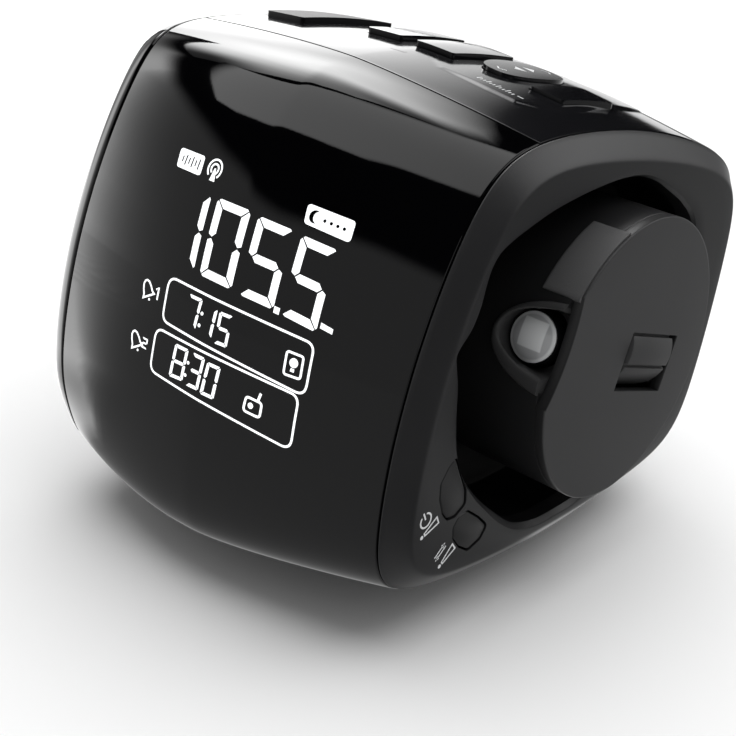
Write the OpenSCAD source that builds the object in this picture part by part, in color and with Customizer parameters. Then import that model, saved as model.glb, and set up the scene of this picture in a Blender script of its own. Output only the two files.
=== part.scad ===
// Projection alarm clock: cushion-shaped housing with a turning projector drum in its right end.
// Build frame of every module: origin at the centre of the drum's face, X to the right,
// Y to the back, Z up, in millimetres. place() moves it so that the row's origin is on the
// surface the clock stands on, under the middle of its bounding box.

/* [Housing outline] */
// Distance of the front side from the drum axis at the right end
front_dist = 47; // [46:0.5:48]
// Distance of the top side from the drum axis at the right end
top_dist = 36; // [36:0.5:37]
// Distance of the back side from the drum axis at the right end
back_dist = 47.5; // [46:0.5:48]
// Distance of the bottom side from the drum axis at the right end
bottom_dist = 37.5; // [37:0.5:38]
// Lean of the front side away from vertical, in degrees
front_lean = 22; // [20:1:23]
// Slope of the top side down to the back, in degrees
top_slope = 10; // [8:1:11]
// Depth of the bevel around the right end
bevel = 5; // [4.5:0.5:5.5]
// Swelling of the housing between its ends, as a fraction
belly = 0.08; // [0.07:0.01:0.09]
// Growth of the outline from the right end to the left end, as a fraction
flare = 0.10; // [0.09:0.01:0.11]
// Wall thickness of the shells
wall = 2.2; // [2:0.1:2.4]

/* [Projector] */
// Radius of the drum's face
drum_r = 28; // [27.6:0.2:28.4]
// Radius of the drum's side
drum_side_r = 27.2; // [26.8:0.2:27.4]
// Tilt of the optical axis above horizontal at rest, in degrees
beam_tilt = 17; // [10:1:20]
// Radius of the projector lens
lens_r = 4.6; // [4.4:0.1:4.6]
// Radius of the focus wheel
focus_r = 8.2; // [8:0.1:8.3]
// Radius of the drum's hollow shaft
shaft_r = 7; // [6.5:0.5:7]
// Radial running clearance of shaft and lens barrel
run_gap = 0.05; // [0.03:0.01:0.08]

/* [Keys] */
// Height of the top keys above the panel
key_proud = 1.2; // [0.8:0.1:1.5]
// Clearance around each key
key_gap = 0.35; // [0.3:0.05:0.45]

/* [Display] */
// Width of the display glass
lcd_w = 43.5; // [42:0.5:43.5]
// Height of the display glass
lcd_h = 48; // [46:1:49]

/* [Hidden] */

$fn = 64;
// where the drum axis meets the drum face, seen from the row's origin
org = [51.2, 1.8, 49.2];
ridge_x = -7.8;
seam_x = -11.6;
left_x = -90.4;
end_x = -103;
sq0 = 9.5;
sq1 = 16;
side_a = [180 - front_lean, 90 - top_slope, -5, 270];
side_d = [front_dist, top_dist, back_dist, bottom_dist];
side_w = [112, 270, 215, 280];
// recess in the right end: front, top, bottom, lower front and back sides
rec_a = [180, 95, 268, 217, 0];
rec_d = [42.6, 33.2, 35.6, 39.3, 22];
rec_w = [90, 200, 70, 60, 60];
rec_r = 34.3;
// angles of the seams between the shells, seen from the drum axis
a_top = 120;
a_back = 48;
a_bot = -48;
a_front = 230;
seam = 0.14;
// optical axis
opt_x = -7.4;
opt_z = 1.3;
barrel_r = 5.15;
top_z = 40.2;

function vsum(v, i = 0) = i < len(v) ? v[i] + vsum(v, i + 1) : 0;
// distance from the axis to a bowed side, along direction th
function side_t(th, a, d, w) = let (m = d - w, c = m*cos(a - th)) c + sqrt(c*c - m*m + w*w);
// closed outline: bowed sides melted together, p sets how square the corners are
function melt(th, a, d, w, p) =
    40*pow(vsum([for (i = [0:len(a) - 1]) pow(side_t(th, a[i], d[i], w[i])/40, -p)]), -1/p);
function u_at(x) = min(1, max(0, (seam_x - x)/(seam_x - left_x)));
function grow(x) = let (u = u_at(x)) (1 + belly*(1 - pow(abs(1 - 2*u), 1.5)))*(1 + flare*u);
function dome(x) = x < left_x ? pow(max(0, 1 - pow((left_x - x)/(left_x - end_x), 2.6)), 1/2.6) : 1;
function body_o(th, x) = melt(th, side_a, side_d, side_w, sq0 + (sq1 - sq0)*u_at(x));
function skin(x, th) = (body_o(th, x) + bevel)*grow(x)*dome(x);
function ring(x, n, add) = [for (j = [0:n - 1]) let (t = 360*j/n, r = skin(x, t) + add) [x, r*cos(t), r*sin(t)]];
// ring of the end's own outline, moved out by add
function end_ring(x, n, add) = [for (j = [0:n - 1]) let (t = 360*j/n, r = melt(t, side_a, side_d, side_w, sq0) + add)
    [x, r*cos(t), r*sin(t)]];
function recess(th) = 40*pow(pow(rec_r/40, 30) + pow(melt(th, rec_a, rec_d, rec_w, 14)/40, 30), 1/30);
// outside of the well: a wall behind the recess that stays inside the end's own outline
function well_pts(n = 72) = [for (j = [0:n - 1]) let (t = 360*j/n, r = min(recess(t) + 1.8, melt(t, side_a, side_d, side_w, sq0) - 0.5)) [r*cos(t), r*sin(t)]];
function recess_pts(add, n = 72) = [for (j = [0:n - 1]) let (t = 360*j/n, r = recess(t) + add) [r*cos(t), r*sin(t)]];
// half ellipse on the left of a line at x = lim
function eye_pts(a, b, zc, lim, n = 32) = let (t0 = lim < 0 ? acos(lim/a) : 90)
    concat(lim > 0 ? [[lim, zc + b]] : [],
        [for (j = [0:n]) let (t = t0 + (360 - 2*t0)*j/n) [a*cos(t), zc + b*sin(t)]],
        lim > 0 ? [[lim, zc - b]] : []);

module place() { translate(org) children(); }
module ax_x() { rotate([90, 0, 90]) children(); }
module tilt() { rotate([-beam_tilt, 0, 0]) children(); }
// along the optical axis: local Z runs out of the lens
module ax_opt(s = 0) { tilt() translate([opt_x, 0, opt_z]) rotate([90, 0, 0]) translate([0, 0, s]) children(); }
module box(a, b) { translate(a) cube(b - a); }
module rod_z(x, y, z0, z1, r, f = 32) { translate([x, y, z0]) cylinder(r = r, h = z1 - z0, $fn = f); }

// solid through a list of equal rings that run from right to left
module loft(rings) {
    n = len(rings[0]);
    m = len(rings);
    polyhedron(points = [for (r = rings) for (p = r) p],
        faces = concat([[for (j = [n - 1:-1:0]) j]], [[for (j = [0:n - 1]) (m - 1)*n + j]],
            [for (i = [0:m - 2]) for (j = [0:n - 1]) let (k = (j + 1) % n, a = i*n)
                [a + j, a + k, a + n + k, a + n + j]]));
}

// slab of the skin between two seams, from depth d0 to depth d1, through stations xs
module slab(xs, t0, t1, nt, d0, d1) {
    m = len(xs);
    q = nt + 1;
    N = m*q;
    function pt(x, j, d) = let (t = t0 + (t1 - t0)*j/nt, r = skin(x, t) - d) [x, r*cos(t), r*sin(t)];
    polyhedron(points = concat([for (x = xs) for (j = [0:nt]) pt(x, j, d0)], [for (x = xs) for (j = [0:nt]) pt(x, j, d1)]),
        faces = concat(
            [for (i = [0:m - 2]) for (j = [0:nt - 1]) let (a = i*q + j) [a, a + 1, a + q + 1, a + q]],
            [for (i = [0:m - 2]) for (j = [0:nt - 1]) let (a = N + i*q + j) [a + q, a + q + 1, a + 1, a]],
            [for (j = [0:nt - 1]) [j + 1, j, N + j, N + j + 1]],
            [for (j = [0:nt - 1]) let (a = (m - 1)*q + j) [a, a + 1, N + a + 1, N + a]],
            [for (i = [0:m - 2]) let (a = i*q) [a, a + q, N + a + q, N + a]],
            [for (i = [0:m - 2]) let (a = i*q + nt) [a + q, a, N + a, N + a + q]]));
}
function stations(a, b, n) = [for (i = [0:n]) a + (b - a)*i/n];
shell_x = stations(seam_x - 0.15, left_x + 0.15, 14);

// ---------- housing ----------
module front_shell() place() color([0.03, 0.03, 0.035]) {
    difference() {
        union() {
            slab(shell_x, a_top + seam, a_front - seam, 30, 0, wall);
            for (t = tab_p) box([t[0] - 5, t[1], -38], [t[0] + 5, -27.5, -33]);
        }
        for (x = [-46, -72]) rod_z(x, -31.5, -39, -32, 1.4, 24);
    }
}

module top_panel() place() color([0.05, 0.05, 0.055]) {
    difference() {
        slab(shell_x, a_back + seam, a_top - seam, 20, 0, wall);
        key_prism(key_snooze_p, key_gap);
        key_prism(key_minus_p, key_gap);
        key_prism(key_plus_p, key_gap);
        key_prism(key_source_p, key_gap);
        rocker_prism(key_gap);
    }
    pivot_ear(-43.9, -42.5, 43.9);
    pivot_ear(-30.7, -29.3, 42.2);
}

module rear_cover() place() color([0.09, 0.09, 0.095])
    difference() {
        union() {
            slab(shell_x, a_bot + seam, a_back - seam, 20, 0, wall);
            for (t = tab_p) box([t[0] - 5, 30, -38], [t[0] + 5, t[2], -33]);
        }
        for (x = [-46, -72]) rod_z(x, 34, -39, -32, 1.4, 24);
        translate([-75, 70, -18]) rotate([90, 0, 0]) cylinder(r = 4.4, h = 20);
        translate([-36, 70, -18]) rotate([90, 0, 0]) cylinder(r = 2.6, h = 20);
    }

feet_p = [[-36, -28], [-36, 28], [-80, -28], [-80, 28]];
// screw tabs: place along X, front end, back end
tab_p = [[-46, -56.5, 50.8], [-72, -59, 52.2]];
case_p = [[-46, -31.5], [-72, -31.5], [-46, 34], [-72, 34]];
post_p = [[-86, -20], [-86, 20], [-40, -20], [-40, 20]];
door_x = [-87, -37];
door_y = 13.6;
module bottom_cover() place() color([0.07, 0.07, 0.075])
    difference() {
        union() {
            slab(shell_x, -130 + seam, a_bot - seam, 20, 0, wall);
            for (p = feet_p) rod_z(p[0], p[1], -47.8, -42.5, 6.5);
            for (p = case_p) rod_z(p[0], p[1], -44, -38.1, 4);
            for (p = post_p) rod_z(p[0], p[1], -45, -30.05, 3);
        }
        box([door_x[0] - 0.4, -door_y - 0.4, -60], [door_x[1] + 0.4, door_y + 0.4, -40]);
        for (p = case_p) { rod_z(p[0], p[1], -50, -37, 1.6, 24); rod_z(p[0], p[1], -50, -41.5, 3); }
        for (p = post_p) rod_z(p[0], p[1], -38, -29, 1, 24);
    }

module battery_door() place() color([0.07, 0.07, 0.075])
    intersection() {
        slab(stations(-94, -32, 8), -112, -68, 10, 0, wall);
        box([door_x[0], -door_y, -60], [door_x[1], door_y, -40]);
    }

module right_end_cap() place() color([0.11, 0.11, 0.115])
    difference() {
        loft([end_ring(ridge_x, 72, 0), end_ring(seam_x + 0.1, 72, bevel), end_ring(seam_x + 0.1, 72, bevel - wall - 0.15),
            end_ring(seam_x - 5, 72, bevel - wall - 0.15)]);
        loft([end_ring(ridge_x - 2.4, 72, -0.3), end_ring(seam_x - 5.1, 72, 0.9)]);
        ax_x() translate([0, 0, -11]) linear_extrude(height = 4) polygon(recess_pts(0));
        // channel that the beam leaves through
        tilt() translate([-3.4, -36, opt_z]) rotate([90, 0, 0]) cylinder(r = 6, h = 24);
        side_cut(key_a, 0.3);
        side_cut(key_b, 0.3);
    }

module left_end_cap() place() color([0.09, 0.09, 0.095])
    difference() {
        loft([for (x = [left_x - 0.1, -93.5, -96.5, -99, -101, -102.2, -102.9]) ring(x, 60, 0)]);
        loft([for (x = [left_x + 0.1, -93.5, -96.5, -99, -100.6]) ring(x, 60, -wall - (left_x - x)*0.12)]);
        for (i = [-4:4]) let (h = sqrt(22*22 - 16*i*i)) box([-110, 4*i - 1 - 1, 2 - h], [-95, 4*i + 1 - 1, 2 + h]);
    }

module projector_well() place() color([0.04, 0.04, 0.045]) {
    difference() {
        union() {
            ax_x() translate([0, 0, -27]) linear_extrude(height = 16.7) polygon(well_pts());
            ax_x() translate([0, 0, -29.5]) cylinder(r = 12, h = 3);
        }
        ax_x() translate([0, 0, -25]) linear_extrude(height = 20) polygon(recess_pts(0));
        ax_x() translate([0, 0, -30]) cylinder(r = 9.05, h = 8);
        side_room(key_a);
        side_room(key_b);
    }
    // end stop for the drum
    ax_x() rotate([0, 0, -60 - 5]) rotate_extrude(angle = 10) translate([20.2, -25.2]) square([2.6, 3]);
}

module drum_bushing() place() color([0.85, 0.83, 0.78])
    ax_x() rotate_extrude() polygon([[shaft_r + run_gap, -24], [12, -24], [12, -24.95], [9, -24.95], [9, -29.8], [shaft_r + run_gap, -29.8]]);

module friction_washer() place() color([0.25, 0.25, 0.25])
    ax_x() difference() {
        translate([0, 0, -23.9]) cylinder(r = 11.5, h = 0.8);
        translate([0, 0, -24.5]) cylinder(r = shaft_r + 0.3, h = 2);
    }

// display stack, parallel to the optical tilt
module disp(y0, y1, x0, x1, z0, z1) tilt() box([x0, y0, z0], [x1, y1, z1]);
lx1 = -29.5;
lx0 = lx1 - lcd_w;
lz0 = -32;
lz1 = lz0 + lcd_h;
module display_glass() place() color([0.1, 0.12, 0.12]) disp(-48, -45.2, lx0, lx1, lz0, lz1);
module display_frame() place() color([0.9, 0.9, 0.88])
    difference() {
        disp(-47.6, -41.2, lx0 - 2, lx1 + 2, lz0 - 2, lz1 + 2);
        disp(-50, -41, lx0 - 0.1, lx1 + 0.1, lz0 - 0.1, lz1 + 0.1);
    }
module light_guide() place() color([0.95, 0.95, 0.95]) disp(-45.1, -42.7, lx0, lx1, lz0, lz1);
module backlight_board() place() color([0.1, 0.35, 0.15]) {
    disp(-42.6, -41.4, lx0, lx1, lz0, lz1);
}

module main_board() place() color([0.08, 0.35, 0.15])
    difference() {
        box([-93, -40, -30], [-35, 40, -28.4]);
        for (p = post_p) rod_z(p[0], p[1], -31, -27, 1.2, 24);
    }
module board_parts() place() color([0.12, 0.12, 0.12]) {
    box([-62, -12, -28.35], [-50, 0, -26.6]);
    box([-80, 10, -28.35], [-73, 17, -26.9]);
    box([-56, 14, -28.35], [-48, 24, -24.5]);
    for (p = [[-70, -25], [-60, -25], [-83, -5]]) rod_z(p[0], p[1], -28.35, -18, 4);
    for (p = [[-48, -24], [-45, 30]]) rod_z(p[0], p[1], -28.35, -22, 2.5);
    box([-85, 24, -28.35], [-79, 36, -20]);
}
module board_screws() place() color([0.7, 0.7, 0.7])
    for (p = post_p) { rod_z(p[0], p[1], -28.35, -27, 2.1, 24); rod_z(p[0], p[1], -36, -28.35, 0.95, 24); }

// ---------- speaker behind the left end ----------
module speaker_basket() place() color([0.35, 0.35, 0.36]) ax_x() translate([-1, 2, 0])
    rotate_extrude() polygon([[25, -96.4], [25, -95.2], [22.5, -95.2], [13, -86.2], [13, -85.2], [7.6, -85.2], [7.6, -86.4], [11.5, -86.4], [21.6, -96.4]]);
module speaker_cone() place() color([0.06, 0.06, 0.06]) ax_x() translate([-1, 2, 0])
    rotate_extrude() polygon([[20.9, -96.35], [20.6, -95.85], [7.2, -88.4], [4, -90.8], [0, -91.8], [0, -92.4], [4.2, -91.5], [7.2, -89.4]]);
module speaker_magnet() place() color([0.2, 0.2, 0.2]) ax_x() translate([-1, 2, -85.1]) cylinder(r = 12, h = 8);

// ---------- rear fittings ----------
module power_socket() place() color([0.06, 0.06, 0.06])
    difference() {
        union() {
            box([-79.5, 41, -23.5], [-70.5, 53.5, -12.5]);
            translate([-75, 57, -18]) rotate([90, 0, 0]) cylinder(r = 4.2, h = 4);
        }
        translate([-75, 60, -18]) rotate([90, 0, 0]) cylinder(r = 2.8, h = 10);
    }
module aerial_grommet() place() color([0.05, 0.05, 0.05])
    translate([-36, 0, -18]) rotate([-90, 0, 0]) rotate_extrude()
        polygon([[0.9, 50], [3.6, 50], [3.6, 52], [2.5, 52], [2.5, 56.8], [0.9, 56.8]]);

// ---------- batteries ----------
module battery_tray() place() color([0.07, 0.07, 0.07])
    difference() {
        box([-88.4, -15.4, -43.2], [-35.6, 15.4, -30.05]);
        box([-87, -14, -50], [-37, -0.6, -31.4]);
        box([-87, 0.6, -50], [-37, 14, -31.4]);
    }
module batteries() place() color([0.75, 0.6, 0.2])
    for (s = [-1, 1]) translate([-62, 7*s, -38]) rotate([0, 90*s, 0]) {
        translate([0, 0, -21.9]) cylinder(r = 5.1, h = 43);
        translate([0, 0, 21.1]) cylinder(r = 1.9, h = 0.9, $fn = 32);
    }
module battery_contacts() place() color([0.8, 0.78, 0.7]) {
    for (s = [-1, 1]) {
        box([-86.9, 7*s - 4, -42], [-86.5, 7*s + 4, -34]);
        box([-37.5, 7*s - 4, -42], [-37.1, 7*s + 4, -34]);
    }
    translate([-86.5, 7, -38]) ax_x() spring_rings();
    translate([-37.5, -7, -38]) rotate([0, 180, 0]) ax_x() spring_rings();
}
module spring_rings() rotate_extrude() polygon([[3.2, 0], [4, 0], [2.4, 2.2], [1.6, 2.2]]);

// ---------- bottom ----------
module feet() place() color([0.03, 0.03, 0.03])
    for (p = feet_p) rod_z(p[0], p[1], -49.2, -47.8, 5.5, 48);
module case_screws() place() color([0.6, 0.6, 0.62])
    for (p = case_p) { rod_z(p[0], p[1], -43.4, -41.6, 2.8, 24); rod_z(p[0], p[1], -41.6, -34, 1.35, 24); }

// ---------- projector drum ----------
module drum_shell() place() color([0.12, 0.12, 0.125]) tilt()
    difference() {
        union() {
            ax_x() difference() {
                translate([0, 0, -23]) cylinder(r = drum_side_r, h = 20.95, $fn = 96);
                translate([0, 0, -21.4]) cylinder(r = drum_side_r - 1.8, h = 25, $fn = 96);
            }
            intersection() {
                ax_x() translate([0, 0, -20]) cylinder(r = drum_side_r - 0.7, h = 17.6, $fn = 96);
                translate([0, -21, 0]) rotate([90, 0, 0]) linear_extrude(height = 9) polygon(eye_pts(15.6, 10.7, 1.4, -2.3));
            }
        }
        translate([0, -22.5, 0]) rotate([90, 0, 0]) linear_extrude(height = 9) polygon(eye_pts(14.05, 9.15, 1.2, -1));
        translate([opt_x, -10, opt_z]) rotate([90, 0, 0]) cylinder(r = barrel_r + 0.3, h = 20);
        ax_x() translate([0, 0, -24]) cylinder(r = shaft_r + 0.04, h = 4);
        // slot that the end stop runs in
        rotate([beam_tilt, 0, 0]) ax_x() rotate([0, 0, -60 - 5 - 22]) rotate_extrude(angle = 10 + 180 + 4) translate([19.6, -24]) square([3.8, 4]);
    }

module drum_face() place() color([0.2, 0.2, 0.205]) tilt()
    difference() {
        ax_x() translate([0, 0, -2]) cylinder(r = drum_r, h = 2, $fn = 96);
        translate([-4, -64.6, 1.4]) rotate([0, 90, 0]) cylinder(r = 40, h = 8, $fn = 96);
        box([-4, -3.1, -6.3], [2, 15.6, 5.3]);
        translate([opt_x, 15.6, opt_z]) rotate([90, 0, 0]) cylinder(r = focus_r + 0.3, h = 18.7, $fn = 96);
    }

module thumb_pad() place() color([0.3, 0.3, 0.305]) tilt()
    ax_x() rotate([0, 0, 123]) rotate_extrude(angle = 35, $fn = 96) translate([drum_side_r + 0.02, -9.8]) square([0.6, 7.6]);

module lens_hood() place() color([0.14, 0.14, 0.145]) tilt()
    difference() {
        intersection() {
            ax_x() translate([0, 0, -18]) cylinder(r = 28.9, h = 20, $fn = 96);
            translate([0, -22.55, 0]) rotate([90, 0, 0]) linear_extrude(height = 9) polygon(eye_pts(14, 9.1, 1.2, -2.1));
        }
        translate([0, -20, 0]) rotate([90, 0, 0]) linear_extrude(height = 14) polygon(eye_pts(12.8, 6.6, 1.9, 2));
        translate([opt_x, -20, opt_z]) rotate([90, 0, 0]) cylinder(r = barrel_r + 0.35, h = 8);
    }

module drum_hub() place() color([0.8, 0.8, 0.78]) ax_x()
    rotate_extrude() polygon([[4, -19.9], [11, -19.9], [11, -21.35], [shaft_r, -21.35], [shaft_r, -30.3], [6, -30.3], [6, -31.3],
        [shaft_r, -31.3], [shaft_r, -32.5], [4, -32.5]]);

module retaining_ring() place() color([0.75, 0.75, 0.78]) ax_x()
    rotate([0, 0, 30]) rotate_extrude(angle = 300) translate([6.05, -31.2]) square([3.4, 0.8]);

module optics_frame() place() color([0.1, 0.1, 0.1]) tilt()
    difference() {
        union() {
            box([-18.2, -17.5, -8], [-16.6, 20, 10]);
            for (y = [[-18, -15], [-6, -2.7], [15.1, 17.1]]) box([-17, y[0], -5.2], [-2.4, y[1], 7.8]);
            box([-17, 18.2, -4.2], [-2.4, 22.8, 6.8]);
        }
        translate([opt_x, 30, opt_z]) rotate([90, 0, 0]) cylinder(r = barrel_r + run_gap, h = 50);
    }
module projection_slide() place() color([0.15, 0.15, 0.2]) tilt() box([opt_x - 3.2, 18.4, opt_z - 3.2], [opt_x + 3.2, 19.3, opt_z + 3.2]);
module condenser_lens() place() color([0.85, 0.9, 0.95]) ax_opt(-21.4)
    intersection() { cylinder(r = barrel_r, h = 1.9); translate([0, 0, -10.1]) sphere(r = 12); }
module projection_led() place() color([0.95, 0.4, 0.2]) ax_opt(-22.75) cylinder(r = 1.5, h = 1.2, $fn = 32);
module led_board() place() color([0.1, 0.35, 0.15]) tilt() box([opt_x - 4.5, 22.85, opt_z - 3.8], [opt_x + 4.5, 23.9, opt_z + 3.8]);

module focus_wheel() place() color([0.1, 0.1, 0.105])
    ax_opt(-14.7) difference() {
        cylinder(r = focus_r, h = 17, $fn = 96);
        translate([0, 0, -1]) cylinder(r = barrel_r + run_gap, h = 20);
        for (i = [0:7]) rotate([0, 0, 45*i - 16.5]) translate([focus_r - 0.35, -0.2, 1]) cube([1, 0.4, 15]);
    }
module lens_barrel() place() color([0.06, 0.06, 0.06]) ax_opt(-16.8)
    rotate_extrude() polygon([[4, 0], [barrel_r, 0], [barrel_r, 40.8], [lens_r + 0.02, 40.8], [lens_r + 0.02, 37.7], [4, 37.7]]);
module projector_lens() place() color([0.8, 0.85, 0.9]) ax_opt(20.95)
    intersection() { cylinder(r = lens_r, h = 4.5); translate([0, 0, 4 - 11]) sphere(r = 11, $fn = 96); }

// ---------- keys on the top panel ----------
key_snooze_p = [[-88, -13.5], [-76.5, -14.5], [-76.5, 13.5], [-88, 13.5]];
key_minus_p = [[-66, -8], [-57, -8], [-57, 13.5], [-66, 13.5]];
key_plus_p = [[-53.5, -8], [-44.5, -7], [-44.5, 13.5], [-53.5, 13.5]];
key_source_p = [[-28.5, -5], [-21, -4], [-21, 14], [-28.5, 14]];
module key_prism(p, g) translate([0, 0, 30]) linear_extrude(height = 30)
    polygon([for (q = p) [q[0] + (q[0] < (p[0][0] + p[1][0])/2 ? -g : g), q[1] + (q[1] < 0 ? -g : g)]]);
module key_top(p, stem, x0, x1) place() color([0.06, 0.06, 0.065]) {
    intersection() {
        slab(stations(x1 + 3, x0 - 3, 5), 70, 112, 10, -key_proud, wall - 0.2);
        key_prism(p, 0);
    }
    box([stem[0] - 2, stem[1] - 2, top_z], [stem[0] + 2, stem[1] + 2, stem[2]]);
}
module key_snooze() key_top(key_snooze_p, [-82, 0, 44.8], -88, -76.5);
module key_minus() key_top(key_minus_p, [-61.5, 2, 45], -66, -57);
module key_plus() key_top(key_plus_p, [-49, 2, 44.8], -53.5, -44.5);
module key_source() {
    key_top(key_source_p, [-25, -1.2, 42.4], -28.5, -21);
    place() color([0.06, 0.06, 0.065]) box([-33, -3.2, top_z], [-26, 0.8, top_z + 1.2]);
}
// oval rocker: front end tunes down, back end tunes up
pivot_y = 5;
pivot_z = 40.2;
pivot_r = 1;
module pivot_ear(x0, x1, top) difference() {
    box([x0, pivot_y - 1.8, pivot_z - 1.8], [x1, pivot_y + 1.8, top]);
    translate([x0 - 1, pivot_y, pivot_z]) rotate([0, 90, 0]) cylinder(r = pivot_r + run_gap, h = x1 - x0 + 2, $fn = 32);
}
module rocker_prism(g) translate([0, 0, 30]) linear_extrude(height = 30)
    polygon([for (j = [0:39]) let (t = 9*j) [-36.5 + (5.2 + g)*sgn_pow(cos(t)), 5 + (10.6 + g)*sgn_pow(sin(t))]]);
function sgn_pow(v) = sign(v)*pow(abs(v), 0.75);
module tuning_rocker() place() color([0.06, 0.06, 0.065]) {
    intersection() {
        slab(stations(-29, -44, 5), 66, 112, 12, -key_proud, wall - 0.2);
        rocker_prism(0);
    }
    for (y = [-1.5, 11.5]) box([-38, y - 1.5, top_z], [-35, y + 1.5, y < 0 ? 44.6 : 42.4]);
    // pivot pin, held in the two ears under the top panel
    translate([-43.7, pivot_y, pivot_z]) rotate([0, 90, 0]) cylinder(r = pivot_r, h = 14.4, $fn = 32);
    box([-40.5, pivot_y - 0.8, pivot_z], [-32.5, pivot_y + 0.8, 42.9]);
}
module top_key_board() place() color([0.08, 0.35, 0.15]) box([-90, -6, 33.4], [-28.2, 16, 34.6]);
sw_p = [[-82, 0], [-61.5, 2], [-49, 2], [-36.5, -1.5], [-36.5, 11.5], [-30.6, -1.2]];
module top_switches() place() color([0.15, 0.15, 0.15])
    for (p = sw_p) { box([p[0] - 2.3, p[1] - 3, 34.65], [p[0] + 2.3, p[1] + 3, 38]); rod_z(p[0], p[1], 38, 39.2, 1.6, 24); }

// ---------- keys at the lower front rim of the recess ----------
key_a = [[-41.2, -10.8], [-45, -13.4], [-44.4, -17.5], [-42.2, -21.4], [-39, -21.6], [-36.6, -20.4], [-38.4, -15.6]];
key_b = [[-35.8, -21.6], [-38.6, -23.6], [-38.4, -26.4], [-36, -29.4], [-32.4, -31.6], [-28.8, -30.6], [-31.6, -26]];
function mid(p) = [vsum([for (q = p) q[0]])/len(p), vsum([for (q = p) q[1]])/len(p)];
function fat(p, g) = let (c = mid(p)) [for (q = p) let (v = q - c, n = norm(v)) c + v*(n + g)/n];
module side_cut(p, g) ax_x() translate([0, 0, -11]) linear_extrude(height = 5) polygon(fat(p, g));
module side_room(p) ax_x() translate([0, 0, -14.2]) linear_extrude(height = 5) polygon(fat(p, 0.8));
module side_key(p, s) place() color([0.1, 0.1, 0.105]) {
    ax_x() translate([0, 0, -12.4]) linear_extrude(height = 5.1) polygon(p);
    ax_x() translate([s[0], s[1], -15.2]) cylinder(r = 1.5, h = 3.2, $fn = 24);
}
stem_a = [-42.4, -17.2];
stem_b = [-36.2, -27];
module key_projector() side_key(key_a, stem_a);
module key_reverse() side_key(key_b, stem_b);
module side_key_board() place() color([0.08, 0.35, 0.15])
    ax_x() translate([0, 0, -20.4]) linear_extrude(height = 1.2) polygon([[-41.6, -12], [-46.8, -12], [-46.8, -19.5], [-40, -30.5], [-35.4, -30.5], [-35.4, -27.5]]);
module side_switches() place() color([0.15, 0.15, 0.15])
    for (s = [stem_a, stem_b]) ax_x() translate([s[0], s[1], -19.15]) {
        translate([-1.6, -1.6, 0]) cube([3.2, 3.2, 2.2]);
        cylinder(r = 1, h = 2.9, $fn = 24);
    }

front_shell();
top_panel();
rear_cover();
bottom_cover();
right_end_cap();
left_end_cap();
projector_well();
drum_bushing();
friction_washer();
display_frame();
display_glass();
light_guide();
backlight_board();
main_board();
board_parts();
board_screws();
top_key_board();
top_switches();
side_key_board();
side_switches();
speaker_basket();
speaker_cone();
speaker_magnet();
power_socket();
aerial_grommet();
battery_tray();
batteries();
battery_contacts();
feet();
case_screws();
battery_door();
drum_shell();
drum_face();
thumb_pad();
lens_hood();
drum_hub();
retaining_ring();
optics_frame();
projection_slide();
condenser_lens();
projection_led();
led_board();
focus_wheel();
lens_barrel();
projector_lens();
key_snooze();
key_minus();
key_plus();
key_source();
tuning_rocker();
key_projector();
key_reverse();
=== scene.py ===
import math
import bpy
import bmesh
import numpy as np
from mathutils import Vector, Matrix, Quaternion


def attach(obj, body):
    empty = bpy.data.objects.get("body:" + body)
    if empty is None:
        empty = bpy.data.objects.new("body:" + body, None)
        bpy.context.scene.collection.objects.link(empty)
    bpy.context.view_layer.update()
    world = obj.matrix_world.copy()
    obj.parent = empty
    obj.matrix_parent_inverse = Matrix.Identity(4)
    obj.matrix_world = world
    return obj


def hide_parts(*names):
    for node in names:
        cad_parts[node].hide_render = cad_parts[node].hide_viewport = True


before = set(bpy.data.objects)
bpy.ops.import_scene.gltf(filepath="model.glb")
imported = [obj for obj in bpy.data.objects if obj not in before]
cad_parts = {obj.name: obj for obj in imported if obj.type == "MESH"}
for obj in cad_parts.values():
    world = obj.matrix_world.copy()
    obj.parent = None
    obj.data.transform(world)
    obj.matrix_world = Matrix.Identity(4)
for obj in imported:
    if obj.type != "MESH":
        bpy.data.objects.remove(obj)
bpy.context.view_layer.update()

# ---------------------------------------------------------------- frame
# Shapes are worked out in millimetres around the drum axis: x to the right, y to the back, z up,
# with the origin at the centre of the drum's face. mm() turns that into the row frame in metres.
ORG = np.array([51.2, 1.8, 49.2])
TILT = math.radians(17)
CT, ST = math.cos(TILT), math.sin(TILT)


def mm(p):
    return (np.asarray(p, float) + ORG) / 1000.0


def tilt(p):
    """From the drum's own frame, whose Y is the optical axis, to the clock's frame."""
    p = np.asarray(p, float)
    out = p.copy()
    out[..., 1] = p[..., 1] * CT + p[..., 2] * ST
    out[..., 2] = -p[..., 1] * ST + p[..., 2] * CT
    return out


# ---------------------------------------------------------------- the housing's skin
RIDGE, SEAM, LEFT, END, BEVEL, WALL = -7.8, -11.6, -90.4, -103.0, 5.0, 2.2
SIDE_A = np.radians([158, 80, -5, 270])
SIDE_D = np.array([47, 36, 47.5, 37.5])
SIDE_W = np.array([112, 270, 215, 280])


def melt(th, p, a=SIDE_A, d=SIDE_D, w=SIDE_W):
    th = np.asarray(th, float)
    s = 0
    for ai, di, wi in zip(a, d, w):
        m = di - wi
        c = m * np.cos(ai - th)
        t = c + np.sqrt(c * c - m * m + wi * wi)
        s = s + (t / 40) ** (-p)
    return 40 * s ** (-1 / p)


def u_at(x):
    return np.clip((SEAM - x) / (SEAM - LEFT), 0, 1)


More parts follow.
